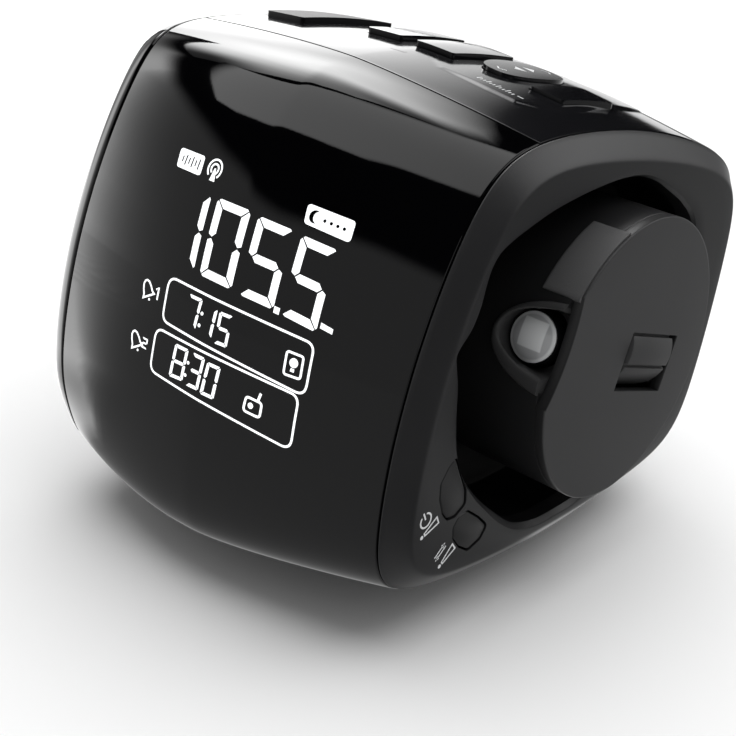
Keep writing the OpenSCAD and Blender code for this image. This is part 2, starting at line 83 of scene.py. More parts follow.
def skin(x, th):
    x = np.asarray(x, float)
    u = u_at(x)
    grow = (1 + 0.08 * (1 - np.abs(1 - 2 * u) ** 1.5)) * (1 + 0.10 * u)
    t = np.clip((LEFT - x) / (LEFT - END), 0, 1)
    dome = np.maximum(0, 1 - t ** 2.6) ** (1 / 2.6)
    # the lower front corner rounds off towards the left end
    a = (np.degrees(th) - 211.0 + 180) % 360 - 180
    s = np.clip((-57.0 - x) / 84.0, 0, 1)
    soft = 9.4 * s * s * (3 - 2 * s) * np.exp(-(a / np.where(a < 0, 9.6, 14.0)) ** 2)
    return ((melt(th, 9.5 + 6.5 * u) + BEVEL) * grow - soft) * dome


def smooth(t):
    t = np.clip(t, 0, 1)
    return t * t * (3 - 2 * t)


# low plateau on the top, around the rocker and the last key: outline in (x, y)
PLATEAU = np.array([(-41, -15.4), (-36.5, -15.4), (-30, -15.2), (-24.2, -14.6), (-20.6, -11.6), (-19.4, -7), (-19.8, 0), (-21.2, 10), (-23, 22),
                    (-25.5, 33), (-31, 38), (-44, 38), (-46.5, 30), (-46.8, 10), (-45.6, -8), (-44, -13.6)], float)


def poly_dist(P, poly):
    """Signed distance to a closed polygon, negative inside."""
    P = np.asarray(P, float)
    best = np.full(P.shape[:-1], 1e9)
    inside = np.zeros(P.shape[:-1], bool)
    n = len(poly)
    for i in range(n):
        a, b = poly[i], poly[(i + 1) % n]
        ab = b - a
        t = np.clip(((P - a) @ ab) / (ab @ ab), 0, 1)
        q = a + t[..., None] * ab
        best = np.minimum(best, np.linalg.norm(P - q, axis=-1))
        cond = (a[1] > P[..., 1]) != (b[1] > P[..., 1])
        with np.errstate(divide="ignore", invalid="ignore"):
            xi = a[0] + (P[..., 1] - a[1]) * (b[0] - a[0]) / (b[1] - a[1])
        inside ^= cond & (P[..., 0] < xi)
    return np.where(inside, -best, best)


def plateau(x, y):
    d = poly_dist(np.stack([x, y], -1), PLATEAU)
    return 0.45 * smooth(0.5 - d / 1.7) * smooth((np.asarray(x, float) + 47) / 16)


def field(P, top=False):
    """How far a point is outside the skin."""
    r = np.hypot(P[..., 1], P[..., 2])
    v = r - skin(P[..., 0], np.arctan2(P[..., 2], P[..., 1]))
    if top:
        v = v - np.where(P[..., 2] > 20, plateau(P[..., 0], P[..., 1]), 0)
    return v


def gradient(P, top=False):
    g = np.zeros_like(P)
    for k in range(3):
        e = np.zeros(3)
        e[k] = 0.02
        g[..., k] = (field(P + e, top) - field(P - e, top)) / 0.04
    return g / np.linalg.norm(g, axis=-1, keepdims=True)


# ---------------------------------------------------------------- mesh helpers
def new_object(name, verts, faces, metres=False):
    me = bpy.data.meshes.new(name)
    v = np.asarray(verts, float)
    if not metres:
        v = mm(v)
    me.from_pydata([tuple(p) for p in v], [], [tuple(int(i) for i in f) for f in faces])
    me.validate()
    me.update()
    ob = bpy.data.objects.new(name, me)
    bpy.context.scene.collection.objects.link(ob)
    return ob


def shade(ob, angle=35):
    for p in ob.data.polygons:
        p.use_smooth = True
    ob.data.set_sharp_from_angle(angle=math.radians(angle))


def apply_mods(ob):
    dg = bpy.context.evaluated_depsgraph_get()
    me = bpy.data.meshes.new_from_object(ob.evaluated_get(dg), depsgraph=dg)
    old = ob.data
    ob.modifiers.clear()
    ob.data = me
    bpy.data.meshes.remove(old)
    ob.data.name = ob.name


def boolean(ob, cutter, op="DIFFERENCE", keep=False):
    m = ob.modifiers.new("cut", "BOOLEAN")
    m.operation, m.object, m.solver = op, cutter, "EXACT"
    apply_mods(ob)
    if not keep:
        me = cutter.data
        bpy.data.objects.remove(cutter)
        bpy.data.meshes.remove(me)


def bevel(ob, width, segments=3, angle=40):
    m = ob.modifiers.new("edge", "BEVEL")
    m.width, m.segments, m.limit_method, m.angle_limit = width / 1000, segments, "ANGLE", math.radians(angle)
    m.use_clamp_overlap = True
    m.harden_normals = False
    apply_mods(ob)


def fix_normals(ob):
    bm = bmesh.new()
    bm.from_mesh(ob.data)
    bmesh.ops.recalc_face_normals(bm, faces=bm.faces)
    bm.to_mesh(ob.data)
    bm.free()


def skin_normals(ob, top=False, tol=0.012, offset=0.0):
    """Gives the outer skin's own normals to the faces that lie on it, so that cut-outs leave no mark in a reflection."""
    me = ob.data
    n = len(me.vertices)
    co = np.empty(n * 3)
    me.vertices.foreach_get("co", co)
    P = co.reshape(-1, 3) * 1000 - ORG
    on = np.abs(field(P, top) - offset) < tol
    N = gradient(P, top)
    nl = len(me.loops)
    cn = np.empty(nl * 3, np.float32)
    me.corner_normals.foreach_get("vector", cn)
    cn = cn.reshape(-1, 3)
    lv = np.empty(nl, np.int32)
    me.loops.foreach_get("vertex_index", lv)
    fn = np.empty(len(me.polygons) * 3)
    me.polygons.foreach_get("normal", fn)
    fn = fn.reshape(-1, 3)
    ls = np.empty(len(me.polygons), np.int32)
    me.polygons.foreach_get("loop_start", ls)
    lt = np.empty(len(me.polygons), np.int32)
    me.polygons.foreach_get("loop_total", lt)
    lf = np.repeat(np.arange(len(me.polygons)), lt)
    good = on[lv] & ((fn[lf] * N[lv]).sum(1) > 0.9)
    cn[good] = N[lv][good]
    me.normals_split_custom_set(cn.tolist())


def grid_faces(m, n, base=0, flip=False, wrap=False):
    out = []
    for i in range(m - 1):
        for j in range(n if wrap else n - 1):
            k = (j + 1) % n
            f = (base + i * n + j, base + i * n + k, base + (i + 1) * n + k, base + (i + 1) * n + j)
            out.append(f[::-1] if flip else f)
    return out


def spaced(a, b, n, edge=0.3):
    """n+1 places from a to b, with one extra close to each end, for crisp rounded rims."""
    s = np.linspace(a, b, n + 1)
    e = edge * np.sign(b - a)
    return np.concatenate([[a], [a + e * 0.3], [a + e], s[1:-1], [b - e], [b - e * 0.3], [b]])


def rim_drop(s, a, b, r):
    """How far a rounded rim of radius r lies below the skin at s, between ends a and b."""
    d = np.minimum(np.abs(s - a), np.abs(s - b))
    t = np.clip(1 - d / r, 0, 1)
    return r * (1 - np.sqrt(np.maximum(0, 1 - t * t)))


def slab(name, x0, x1, t0, t1, nx, nt, out=0.0, deep=WALL, rim=0.3, top=False):
    """A thick sheet of the skin, with its rims rounded over."""
    xs = spaced(x0, x1, nx, rim)
    tdeg = rim / 45 * 180 / math.pi
    ts = spaced(t0, t1, nt, tdeg)
    X, T = np.meshgrid(xs, np.radians(ts), indexing="ij")
    R = skin(X, T) + out
    drop = np.maximum(rim_drop(X, x0, x1, rim), rim_drop(np.degrees(T), t0, t1, tdeg) / tdeg * rim)
    if top:
        R = R + plateau(X, R * np.cos(T))
    Ro = R - drop
    Ri = skin(X, T) - deep
    m, n = X.shape
    O = np.stack([X, Ro * np.cos(T), Ro * np.sin(T)], -1).reshape(-1, 3)
    I = np.stack([X, Ri * np.cos(T), Ri * np.sin(T)], -1).reshape(-1, 3)
    N = m * n
    faces = grid_faces(m, n) + grid_faces(m, n, N, True)
    for i in range(m - 1):
        a = i * n
        faces.append((a, a + n, N + a + n, N + a))
        a = i * n + n - 1
        faces.append((a + n, a, N + a, N + a + n))
    for j in range(n - 1):
        faces.append((j + 1, j, N + j, N + j + 1))
        a = (m - 1) * n + j
        faces.append((a, a + 1, N + a + 1, N + a))
    ob = new_object(name, np.concatenate([O, I]), faces)
    fix_normals(ob)
    return ob


def prism(name, poly, z0, z1, axis="z"):
    """A straight prism over a polygon: in (x, y) along z, or in (y, z) along x."""
    poly = np.asarray(poly, float)
    n = len(poly)
    if axis == "z":
        lo = np.column_stack([poly, np.full(n, z0)])
        hi = np.column_stack([poly, np.full(n, z1)])
    else:
        lo = np.column_stack([np.full(n, z0), poly])
        hi = np.column_stack([np.full(n, z1), poly])
    faces = [tuple(range(n))[::-1], tuple(range(n, 2 * n))]
    faces += [(i, (i + 1) % n, n + (i + 1) % n, n + i) for i in range(n)]
    ob = new_object(name, np.concatenate([lo, hi]), faces)
    fix_normals(ob)
    return ob


def round_poly(poly, r, n=6):
    """A polygon with its corners rounded; r may be one radius or one for each corner."""
    poly = np.asarray(poly, float)
    m = len(poly)
    rs = [r] * m if np.isscalar(r) else r
    out = []
    for i in range(m):
        a, b, c = poly[i - 1], poly[i], poly[(i + 1) % m]
        u, v = a - b, c - b
        lu, lv = np.linalg.norm(u), np.linalg.norm(v)
        u, v = u / lu, v / lv
        half = math.acos(float(np.clip(u @ v, -1, 1))) / 2
        d = min(rs[i] / math.tan(half), 0.49 * lu, 0.49 * lv) if half < 1.55 else 0
        if d < 1e-3:
            out.append(b)
            continue
        p, q = b + u * d, b + v * d
        for k in range(n + 1):
            t = k / n
            out.append((1 - t) ** 2 * p + 2 * t * (1 - t) * b + t * t * q)
    return np.array(out)


def grow_poly(poly, g):
    """Moves a polygon's outline out by g."""
    poly = np.asarray(poly, float)
    area = 0.5 * np.sum(poly[:, 0] * np.roll(poly[:, 1], -1) - np.roll(poly[:, 0], -1) * poly[:, 1])
    e = np.roll(poly, -1, 0) - poly
    nrm = np.column_stack([e[:, 1], -e[:, 0]]) / np.linalg.norm(e, axis=1)[:, None] * np.sign(area)
    prev = np.roll(nrm, 1, 0)
    s = nrm + prev
    s = s / np.maximum(0.3, (s * nrm).sum(1))[:, None]
    return poly + s * g


def closed_spline(pts, n):
    """A smooth closed curve through the points, n places along it."""
    P = np.asarray(pts, float)
    m = len(P)
    seg = np.linalg.norm(np.roll(P, -1, 0) - P, axis=1) ** 0.5
    out = []
    t_all = np.concatenate([[0], np.cumsum(seg)])
    for s in np.linspace(0, t_all[-1], n, endpoint=False):
        i = int(np.searchsorted(t_all, s, "right") - 1)
        i = min(i, m - 1)
        p0, p1, p2, p3 = P[(i - 1) % m], P[i], P[(i + 1) % m], P[(i + 2) % m]
        a, b, c = seg[(i - 1) % m], seg[i], seg[(i + 1) % m]
        t = (s - t_all[i]) / b
        m1 = b * ((p1 - p0) / a - (p2 - p0) / (a + b) + (p2 - p1) / b)
        m2 = b * ((p2 - p1) / b - (p3 - p1) / (b + c) + (p3 - p2) / c)
        out.append((2 * t ** 3 - 3 * t ** 2 + 1) * p1 + (t ** 3 - 2 * t ** 2 + t) * m1 + (-2 * t ** 3 + 3 * t ** 2) * p2 + (t ** 3 - t ** 2) * m2)
    return np.array(out)


def loft(name, rings, close=True, wrap=False):
    """Skins a list of equal closed rings; close fills the end rings, wrap joins last to first."""
    rings = [np.asarray(r, float) for r in rings]
    m, n = len(rings), len(rings[0])
    faces = grid_faces(m, n, wrap=True)
    if wrap:
        a = (m - 1) * n
        faces += [(a + j, a + (j + 1) % n, (j + 1) % n, j) for j in range(n)]
    elif close:
        faces += [tuple(range(n))[::-1], tuple(range((m - 1) * n, m * n))]
    ob = new_object(name, np.concatenate(rings), faces)
    fix_normals(ob)
    return ob


def lathe_x(name, profile, n=180, wrap=True, tilted=False):
    """Turns a closed (r, x) profile around the drum axis."""
    t = np.linspace(0, 2 * math.pi, n, endpoint=False)
    rings = [np.column_stack([np.full(n, x), r * np.cos(t), r * np.sin(t)]) for r, x in profile]
    return loft(name, rings, close=not wrap, wrap=wrap)


def done(ob, body, node=None, mat=None):
    ob.data.materials.clear()
    ob.data.materials.append(mat)
    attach(ob, body)
    if node:
        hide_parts(*([node] if isinstance(node, str) else node))
    return ob


# ---------------------------------------------------------------- materials
def material(name, color, rough, metal=0.0, grain=0.0, grain_scale=900.0, vary=0.06, rough_vary=0.04, coat=0.0, coat_rough=0.03, ior=1.5,
             wave=0.0, wave_scale=40.0, emit=0.0, alpha=1.0, trans=0.0, spec=0.5, edge=0.0):
    """A principled material whose colour, roughness and surface grain come from noise in object space."""
    m = bpy.data.materials.new(name)
    m.use_nodes = True
    nt = m.node_tree
    b = nt.nodes["Principled BSDF"]
    tc = nt.nodes.new("ShaderNodeTexCoord")
    big = nt.nodes.new("ShaderNodeTexNoise")
    big.inputs["Scale"].default_value = 55.0
    big.inputs["Detail"].default_value = 4.0
    nt.links.new(tc.outputs["Object"], big.inputs["Vector"])
    ramp = nt.nodes.new("ShaderNodeValToRGB")
    c = np.array(color[:3], float)
    ramp.color_ramp.elements[0].position = 0.3
    ramp.color_ramp.elements[1].position = 0.7
    ramp.color_ramp.elements[0].color = (*(c * (1 - vary)), 1)
    ramp.color_ramp.elements[1].color = (*np.minimum(1, c * (1 + vary)), 1)
    nt.links.new(big.outputs["Fac"], ramp.inputs["Fac"])
    nt.links.new(ramp.outputs["Color"], b.inputs["Base Color"])
    mr = nt.nodes.new("ShaderNodeMapRange")
    mr.inputs["To Min"].default_value = max(0.0, rough - rough_vary)
    mr.inputs["To Max"].default_value = min(1.0, rough + rough_vary)
    nt.links.new(big.outputs["Fac"], mr.inputs["Value"])
    nt.links.new(mr.outputs["Result"], b.inputs["Roughness"])
    b.inputs["Metallic"].default_value = metal
    b.inputs["IOR"].default_value = ior
    b.inputs["Specular IOR Level"].default_value = spec
    b.inputs["Coat Weight"].default_value = coat
    b.inputs["Coat Roughness"].default_value = coat_rough
    if alpha < 1:
        b.inputs["Alpha"].default_value = alpha
    if trans > 0:
        b.inputs["Transmission Weight"].default_value = trans
    if emit > 0:
        b.inputs["Emission Color"].default_value = (*color[:3], 1)
        b.inputs["Emission Strength"].default_value = emit
    last = None
    if grain > 0:
        fine = nt.nodes.new("ShaderNodeTexNoise")
        fine.inputs["Scale"].default_value = grain_scale
        fine.inputs["Detail"].default_value = 3.0
        nt.links.new(tc.outputs["Object"], fine.inputs["Vector"])
        bump = nt.nodes.new("ShaderNodeBump")
        bump.inputs["Strength"].default_value = grain
        bump.inputs["Distance"].default_value = 0.0001
        nt.links.new(fine.outputs["Fac"], bump.inputs["Height"])
        last = bump
    if wave > 0:
        slow = nt.nodes.new("ShaderNodeTexNoise")
        slow.inputs["Scale"].default_value = wave_scale
        slow.inputs["Detail"].default_value = 1.0
        nt.links.new(tc.outputs["Object"], slow.inputs["Vector"])
        b2 = nt.nodes.new("ShaderNodeBump")
        b2.inputs["Strength"].default_value = wave
        b2.inputs["Distance"].default_value = 0.0005
        nt.links.new(slow.outputs["Fac"], b2.inputs["Height"])
        if last:
            nt.links.new(last.outputs["Normal"], b2.inputs["Normal"])
        last = b2
    if last:
        nt.links.new(last.outputs["Normal"], b.inputs["Normal"])
    return m


M = {
    "piano": material("piano_black", (0.0010, 0.0010, 0.0013), 0.03, grain=0.01, grain_scale=2500, vary=0.1, rough_vary=0.015, wave=0.012, wave_scale=30),
    "top": material("top_black", (0.007, 0.007, 0.008), 0.10, grain=0.03, grain_scale=3000, vary=0.1, rough_vary=0.02, wave=0.01),
    "satin": material("satin_black", (0.0135, 0.0135, 0.0145), 0.40, grain=0.22, grain_scale=5200, vary=0.08, rough_vary=0.04),
    "back": material("satin_back", (0.018, 0.018, 0.019), 0.48, grain=0.3, grain_scale=4200, vary=0.08, rough_vary=0.05),
    "well": material("well_black", (0.0025, 0.0025, 0.0028), 0.36, grain=0.1, grain_scale=4000, vary=0.1, rough_vary=0.05, spec=0.14),
    "drum": material("drum_side", (0.010, 0.010, 0.0105), 0.34, grain=0.12, grain_scale=4500, vary=0.08, rough_vary=0.04),
    "disc": material("drum_grey", (0.036, 0.036, 0.037), 0.40, grain=0.25, grain_scale=5000, vary=0.05, rough_vary=0.04),
    "pad": material("pad_grey", (0.064, 0.064, 0.065), 0.60, grain=0.35, grain_scale=3600, vary=0.05, rough_vary=0.05),
    "hood": material("hood_black", (0.031, 0.031, 0.0315), 0.34, grain=0.1, grain_scale=4500, vary=0.08, rough_vary=0.04),
    "wheel": material("wheel_grey", (0.040, 0.040, 0.041), 0.50, grain=0.2, grain_scale=4500, vary=0.06, rough_vary=0.04),
    "key": material("key_black", (0.006, 0.006, 0.007), 0.10, grain=0.02, grain_scale=3000, vary=0.1, rough_vary=0.02),
    "lens": material("lens_clear", (0.31, 0.315, 0.32), 0.06, vary=0.03, rough_vary=0.01, ior=1.49, coat=1.0),
    "snooze": material("snooze_black", (0.006, 0.006, 0.007), 0.45, grain=0.05, grain_scale=3000, vary=0.1, rough_vary=0.03, spec=0.12),
    "side_key": material("side_key_black", (0.010, 0.010, 0.0105), 0.36, grain=0.15, grain_scale=5200, vary=0.08, rough_vary=0.04),
    "lit": material("lit_white", (0.93, 0.95, 0.96), 0.12, vary=0.015, rough_vary=0.02, emit=0.75),
    "print": material("print_white", (0.72, 0.73, 0.74), 0.45, vary=0.05, rough_vary=0.04, grain=0.05),
    "rubber": material("foot_rubber", (0.015, 0.015, 0.015), 0.75, grain=0.5, grain_scale=2500, vary=0.12, rough_vary=0.06),
    "board": material("circuit_board", (0.02, 0.11, 0.045), 0.35, grain=0.1, grain_scale=1500, vary=0.25),
    "part": material("component_black", (0.02, 0.02, 0.02), 0.5, grain=0.2, grain_scale=3000, vary=0.15),
    "steel": material("steel", (0.55, 0.55, 0.56), 0.32, metal=1.0, grain=0.12, grain_scale=2500, vary=0.06),
    "opal": material("opal", (0.8, 0.8, 0.8), 0.5, grain=0.05, vary=0.02),
    "acetal": material("acetal", (0.72, 0.71, 0.67), 0.42, grain=0.08, vary=0.04),
    "felt": material("felt", (0.04, 0.04, 0.04), 0.95, grain=0.9, grain_scale=2500, vary=0.2),
    "jacket": material("cell_jacket", (0.45, 0.30, 0.05), 0.3, metal=0.7, vary=0.1),
    "glass": material("display_glass", (0.03, 0.035, 0.035), 0.06, vary=0.05, rough_vary=0.01),
    "cone": material("cone_paper", (0.02, 0.02, 0.02), 0.85, grain=0.7, grain_scale=2200, vary=0.2),
}


def paint_lens_light(m):
    """Paints light into the lens's colour, in the lens's own axes: a lighter square for the lit slide that would show
    through the lens, and a bright ring at its rim as a painted highlight.
    """
    nt = m.node_tree
    tc = nt.nodes.new("ShaderNodeTexCoord")
    mp = nt.nodes.new("ShaderNodeMapping")
    mp.vector_type = "TEXTURE"
    at = mm(tilt([-7.4, 0.0, 1.3]))
    mp.inputs["Location"].default_value = tuple(at)
    mp.inputs["Rotation"].default_value = (-TILT, 0, 0)
    mp.inputs["Scale"].default_value = (0.001, 0.001, 0.001)
    nt.links.new(tc.outputs["Object"], mp.inputs["Vector"])
    sep = nt.nodes.new("ShaderNodeSeparateXYZ")
    nt.links.new(mp.outputs["Vector"], sep.inputs["Vector"])

    def op(kind, a, b=None):
        nd = nt.nodes.new("ShaderNodeMath")
        nd.operation = kind
        for sock, v in zip(nd.inputs, (a, b)):
            if v is None:
                continue
            if isinstance(v, (int, float)):
                sock.default_value = v
            else:
                nt.links.new(v, sock)
        return nd.outputs[0]

    def step(v, lo, hi):
        nd = nt.nodes.new("ShaderNodeMapRange")
        nd.interpolation_type = "SMOOTHSTEP"
        nd.inputs["From Min"].default_value, nd.inputs["From Max"].default_value = lo, hi
        nt.links.new(v, nd.inputs["Value"])
        return nd.outputs["Result"]

    x, z = sep.outputs["X"], sep.outputs["Z"]
    # painted light: a lighter square where the lit slide would show through the lens, and at three quarters strength a
    # painted highlight ring near the lens's rim
    dx = op("ABSOLUTE", op("SUBTRACT", x, 0.1))
    dz = op("ABSOLUTE", op("SUBTRACT", z, 0.55))
    box = op("MULTIPLY", step(dx, 2.6, 2.3), step(dz, 2.8, 2.5))
    rad = op("SQRT", op("ADD", op("MULTIPLY", x, x), op("MULTIPLY", z, z)))
    rim = op("MULTIPLY", step(rad, 3.85, 4.25), 0.75)
    painted_light_mask = op("MAXIMUM", box, rim)
    mix = nt.nodes.new("ShaderNodeMix")
    mix.data_type = "RGBA"
    b = nt.nodes["Principled BSDF"]
    old = b.inputs["Base Color"].links[0].from_socket
    nt.links.new(painted_light_mask, mix.inputs["Factor"])
    nt.links.new(old, mix.inputs["A"])
    # colour of the painted light
    mix.inputs["B"].default_value = (0.55, 0.56, 0.565, 1)
    nt.links.new(mix.outputs["Result"], b.inputs["Base Color"])


# lays the painted light into the lens material, which the condenser lens shares
paint_lens_light(M["lens"])
NODE_MAT = {
    "front_shell": "piano", "top_panel": "top", "rear_cover": "back", "bottom_cover": "back", "right_end_cap": "satin", "left_end_cap": "piano",
    "projector_well": "well", "drum_bushing": "acetal", "friction_washer": "felt", "display_frame": "opal", "display_glass": "glass",
    "light_guide": "opal", "backlight_board": "board", "main_board": "board", "board_parts": "part", "board_screws": "steel",
    "top_key_board": "board", "top_switches": "part", "side_key_board": "board", "side_switches": "part", "speaker_basket": "steel",
    "speaker_cone": "cone", "speaker_magnet": "part", "power_socket": "part", "aerial_grommet": "rubber", "battery_tray": "part",
    "batteries": "jacket", "battery_contacts": "steel", "feet": "rubber", "case_screws": "steel", "battery_door": "back", "drum_shell": "drum",
    "drum_face": "disc", "thumb_pad": "pad", "lens_hood": "hood", "drum_hub": "acetal", "retaining_ring": "steel", "optics_frame": "part",
    "projection_slide": "glass", "condenser_lens": "lens", "projection_led": "lit", "led_board": "board", "focus_wheel": "wheel",
    "lens_barrel": "part", "projector_lens": "lens", "key_snooze": "snooze", "key_minus": "key", "key_plus": "key", "key_source": "key",
    "tuning_rocker": "key", "key_projector": "side_key", "key_reverse": "side_key"}
for node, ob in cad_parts.items():
    for s in ob.material_slots:
        s.material = M[NODE_MAT[node]]

# ---------------------------------------------------------------- outlines of the keys
KEYS = {
    "key_snooze": [(-87.4, -13.6), (-76.6, -14.4), (-76.6, 13.4), (-87.4, 13.4)],
    "key_minus": [(-65.6, -7.8), (-57.1, -7.8), (-57.1, 13.4), (-65.6, 13.4)],
    "key_plus": [(-53.4, -7.8), (-44.7, -7.0), (-44.7, 13.4), (-53.4, 13.4)],
    "key_source": [(-28.4, -4.9), (-21.2, -4.0), (-21.2, 13.8), (-28.4, 13.8)],
}


def rocker(g, n=64):
    t = np.linspace(0, 2 * math.pi, n, endpoint=False)
    c, s = np.cos(t), np.sin(t)
    return np.column_stack([-36.5 + (5.1 + g) * np.sign(c) * np.abs(c) ** 0.8, 5 + (10.5 + g) * np.sign(s) * np.abs(s) ** 0.8])


# ---------------------------------------------------------------- housing shells
SX0, SX1 = SEAM - 0.13, LEFT + 0.13
front = slab("front_cover", SX0, SX1, 120.12, 229.88, 96, 110)
skin_normals(front)
done(front, "housing", "front_shell", M["piano"])

top = slab("top_cover", SX0, SX1, 48.12, 119.88, 190, 160, top=True)
for k, p in KEYS.items():
    boolean(top, prism("cutter", round_poly(grow_poly(p, 0.32), 1.0), 25, 70))
boolean(top, prism("cutter", rocker(0.32), 25, 70))
shade(top)
skin_normals(top, top=True)
done(top, "housing", "top_panel", M["top"])

rear = slab("rear_cover_skin", SX0, SX1, -47.88, 47.88, 60, 70)


def rod(name, axis, at, r, lo, hi, n=48):
    t = np.linspace(0, 2 * math.pi, n, endpoint=False)
    a, b = r * np.cos(t), r * np.sin(t)
    rings = []
    for s in (lo, hi):
        if axis == "y":
            rings.append(np.column_stack([at[0] + a, np.full(n, s), at[1] + b]))
        elif axis == "z":
            rings.append(np.column_stack([at[0] + a, at[1] + b, np.full(n, s)]))
        else:
            rings.append(np.column_stack([np.full(n, s), at[0] + a, at[1] + b]))
    return loft(name, rings)


boolean(rear, rod("cutter", "y", (-75, -18), 4.4, 40, 75))
boolean(rear, rod("cutter", "y", (-36, -18), 2.6, 40, 75))
shade(rear)
skin_normals(rear)
done(rear, "housing", "rear_cover", M["back"])

bottom = slab("bottom_cover_skin", SX0, SX1, -129.88, -48.12, 60, 60)
DOOR = round_poly([(-87, -13.6), (-37, -13.6), (-37, 13.6), (-87, 13.6)], 1.0)
boolean(bottom, prism("cutter", grow_poly(DOOR, 0.4), -60, -38))
for x, y in ((-46, -31.5), (-72, -31.5), (-46, 34), (-72, 34)):
    boolean(bottom, rod("cutter", "z", (x, y), 3.0, -55, -41.5))
shade(bottom)
skin_normals(bottom)
done(bottom, "housing", "bottom_cover", M["back"])

# foot pads moulded on the bottom, and the rubber feet on them
FEET = [(-36, -28), (-36, 28), (-80, -28), (-80, 28)]


def turned_z(name, prof, at, n=64):
    t = np.linspace(0, 2 * math.pi, n, endpoint=False)
    return loft(name, [np.column_stack([at[0] + r * np.cos(t), at[1] + r * np.sin(t), np.full(n, z)]) for r, z in prof])


def join(name, obs):
    bm = bmesh.new()
    for o in obs:
        bm.from_mesh(o.data)
    me = bpy.data.meshes.new(name)
    bm.to_mesh(me)
    bm.free()
    for o in obs:
        d = o.data
        bpy.data.objects.remove(o)
        bpy.data.meshes.remove(d)
    ob = bpy.data.objects.new(name, me)
    bpy.context.scene.collection.objects.link(ob)
    return ob


pads = join("foot_pads", [turned_z("p", [(6.5, -42.6), (6.5, -47.5), (6.4, -47.7), (6.2, -47.8)], p) for p in FEET])
shade(pads)
done(pads, "housing", None, M["back"])
feet = join("rubber_feet", [turned_z("p", [(5.5, -47.81), (5.5, -48.6), (5.38, -48.95), (5.1, -49.15), (4.8, -49.2)], p) for p in FEET])
shade(feet)
done(feet, "housing", "feet", M["rubber"])

door = slab("battery_lid", -87, -37, -112, -68, 40, 40, rim=0.2)
boolean(door, prism("cutter", DOOR, -60, -38), "INTERSECT")
# grip grooves
for i in range(5):
    x = -83.5 + 2.0 * i
    boolean(door, rod("cutter", "y", (x, -float(skin(x, math.radians(-90))) - 0.15), 0.6, -8, 8, 20))
shade(door)
done(door, "battery_door", "battery_door", M["back"])

# left end: dome with the speaker's slots
n = 200
t = np.linspace(0, 2 * math.pi, n, endpoint=False)
rings = []
lx = np.concatenate([[LEFT - 0.13, LEFT - 0.16, LEFT - 0.42], np.linspace(-91.8, -100, 16), END + np.array([2.4, 1.9, 1.45, 1.05, 0.7, 0.42, 0.22, 0.1, 0.03])])
drops = [0.3, 0.14, 0.0] + [0.0] * (len(lx) - 3)
for x, dr in zip(lx, drops):
    r = skin(x, t) - dr
    rings.append(np.column_stack([np.full(n, x), r * np.cos(t), r * np.sin(t)]))
inner = []
for x in np.concatenate([[-100.55, -100.2, -99.4], np.linspace(-98, -91.2, 8), [LEFT - 0.13]]):
    r = np.maximum(1.0, skin(x, t) - WALL - (LEFT - x) * 0.12)
    inner.append(np.column_stack([np.full(n, x), r * np.cos(t), r * np.sin(t)]))
faces = []
nr = len(rings)
faces += grid_faces(nr, n, wrap=True)
faces.append(tuple(range((nr - 1) * n, nr * n)))
faces += grid_faces(len(inner), n, nr * n, wrap=True)
faces.append(tuple(range(nr * n, nr * n + n)))
a, b = 0, (nr + len(inner) - 1) * n
faces += [(a + j, a + (j + 1) % n, b + (j + 1) % n, b + j) for j in range(n)]
left = new_object("left_cap_skin", np.concatenate(rings + inner), faces)
fix_normals(left)
slots = []
for i in range(-4, 5):
    h = math.sqrt(22 * 22 - 16 * i * i)
    y = 4 * i - 1
    slots.append(prism("cutter", round_poly([(y - 1, 2 - h), (y + 1, 2 - h), (y + 1, 2 + h), (y - 1, 2 + h)], 0.95), -110, -95, "x"))
boolean(left, join("cutter", slots))
shade(left, 30)
skin_normals(left)
done(left, "housing", "left_end_cap", M["piano"])

# ---------------------------------------------------------------- right end cap
NT = 720
TH = np.linspace(0, 2 * math.pi, NT, endpoint=False)
END_R = melt(TH, 9.5)
# opening of the recess in the end's face, (y, z)
OPEN = [(30.3, 19.5), (25.0, 24.2), (18.7, 27.8), (12.5, 30.9), (5.9, 32.9), (-1.0, 33.5), (-7.8, 33.3), (-15.5, 32.6), (-22.8, 31.5), (-29.5, 29.8), (-34.2, 28.3),
        (-37.0, 26.9), (-38.6, 25.0), (-39.6, 22.2), (-40.4, 18.4), (-42.1, 14.7), (-45.3, 11.0), (-44.9, 8.6), (-43.9, 5.0), (-42.9, -2.0), (-41.2, -9.3), (-38.2, -15.3),
        (-34.0, -20.5), (-29.0, -25.4), (-24.5, -29.4), (-18.5, -33.3), (-10.3, -35.5), (-3.0, -35.8), (3.4, -35.6), (10.5, -33.4), (18.5, -29.6), (25.0, -24.2), (30.4, -17.0),
        (34.0, -8.0), (35.0, 1.0), (33.6, 11.0)]
LIP = [(30.0, 19.2), (24.7, 23.8), (18.4, 27.4), (12.2, 30.5), (5.8, 32.5), (-1.0, 33.1), (-7.7, 32.9), (-15.4, 32.2), (-22.6, 31.1), (-29.1, 29.2), (-33.6, 27.4),
       (-36.1, 25.4), (-37.2, 23.0), (-37.7, 20.4), (-38.0, 17.4), (-39.4, 13.6), (-43.6, 9.2), (-44.0, 7.6), (-43.1, 4.4), (-42.2, -2.0), (-40.5, -9.0), (-37.5, -14.9),
       (-33.3, -20.0), (-28.2, -24.8), (-23.7, -28.4), (-18.1, -32.5), (-10.1, -34.8), (-3.0, -35.1), (3.35, -34.9), (10.4, -33.0), (18.2, -29.2), (24.7, -23.8), (30.0, -16.8),
       (33.6, -8.0), (34.6, 1.0), (33.2, 10.9)]


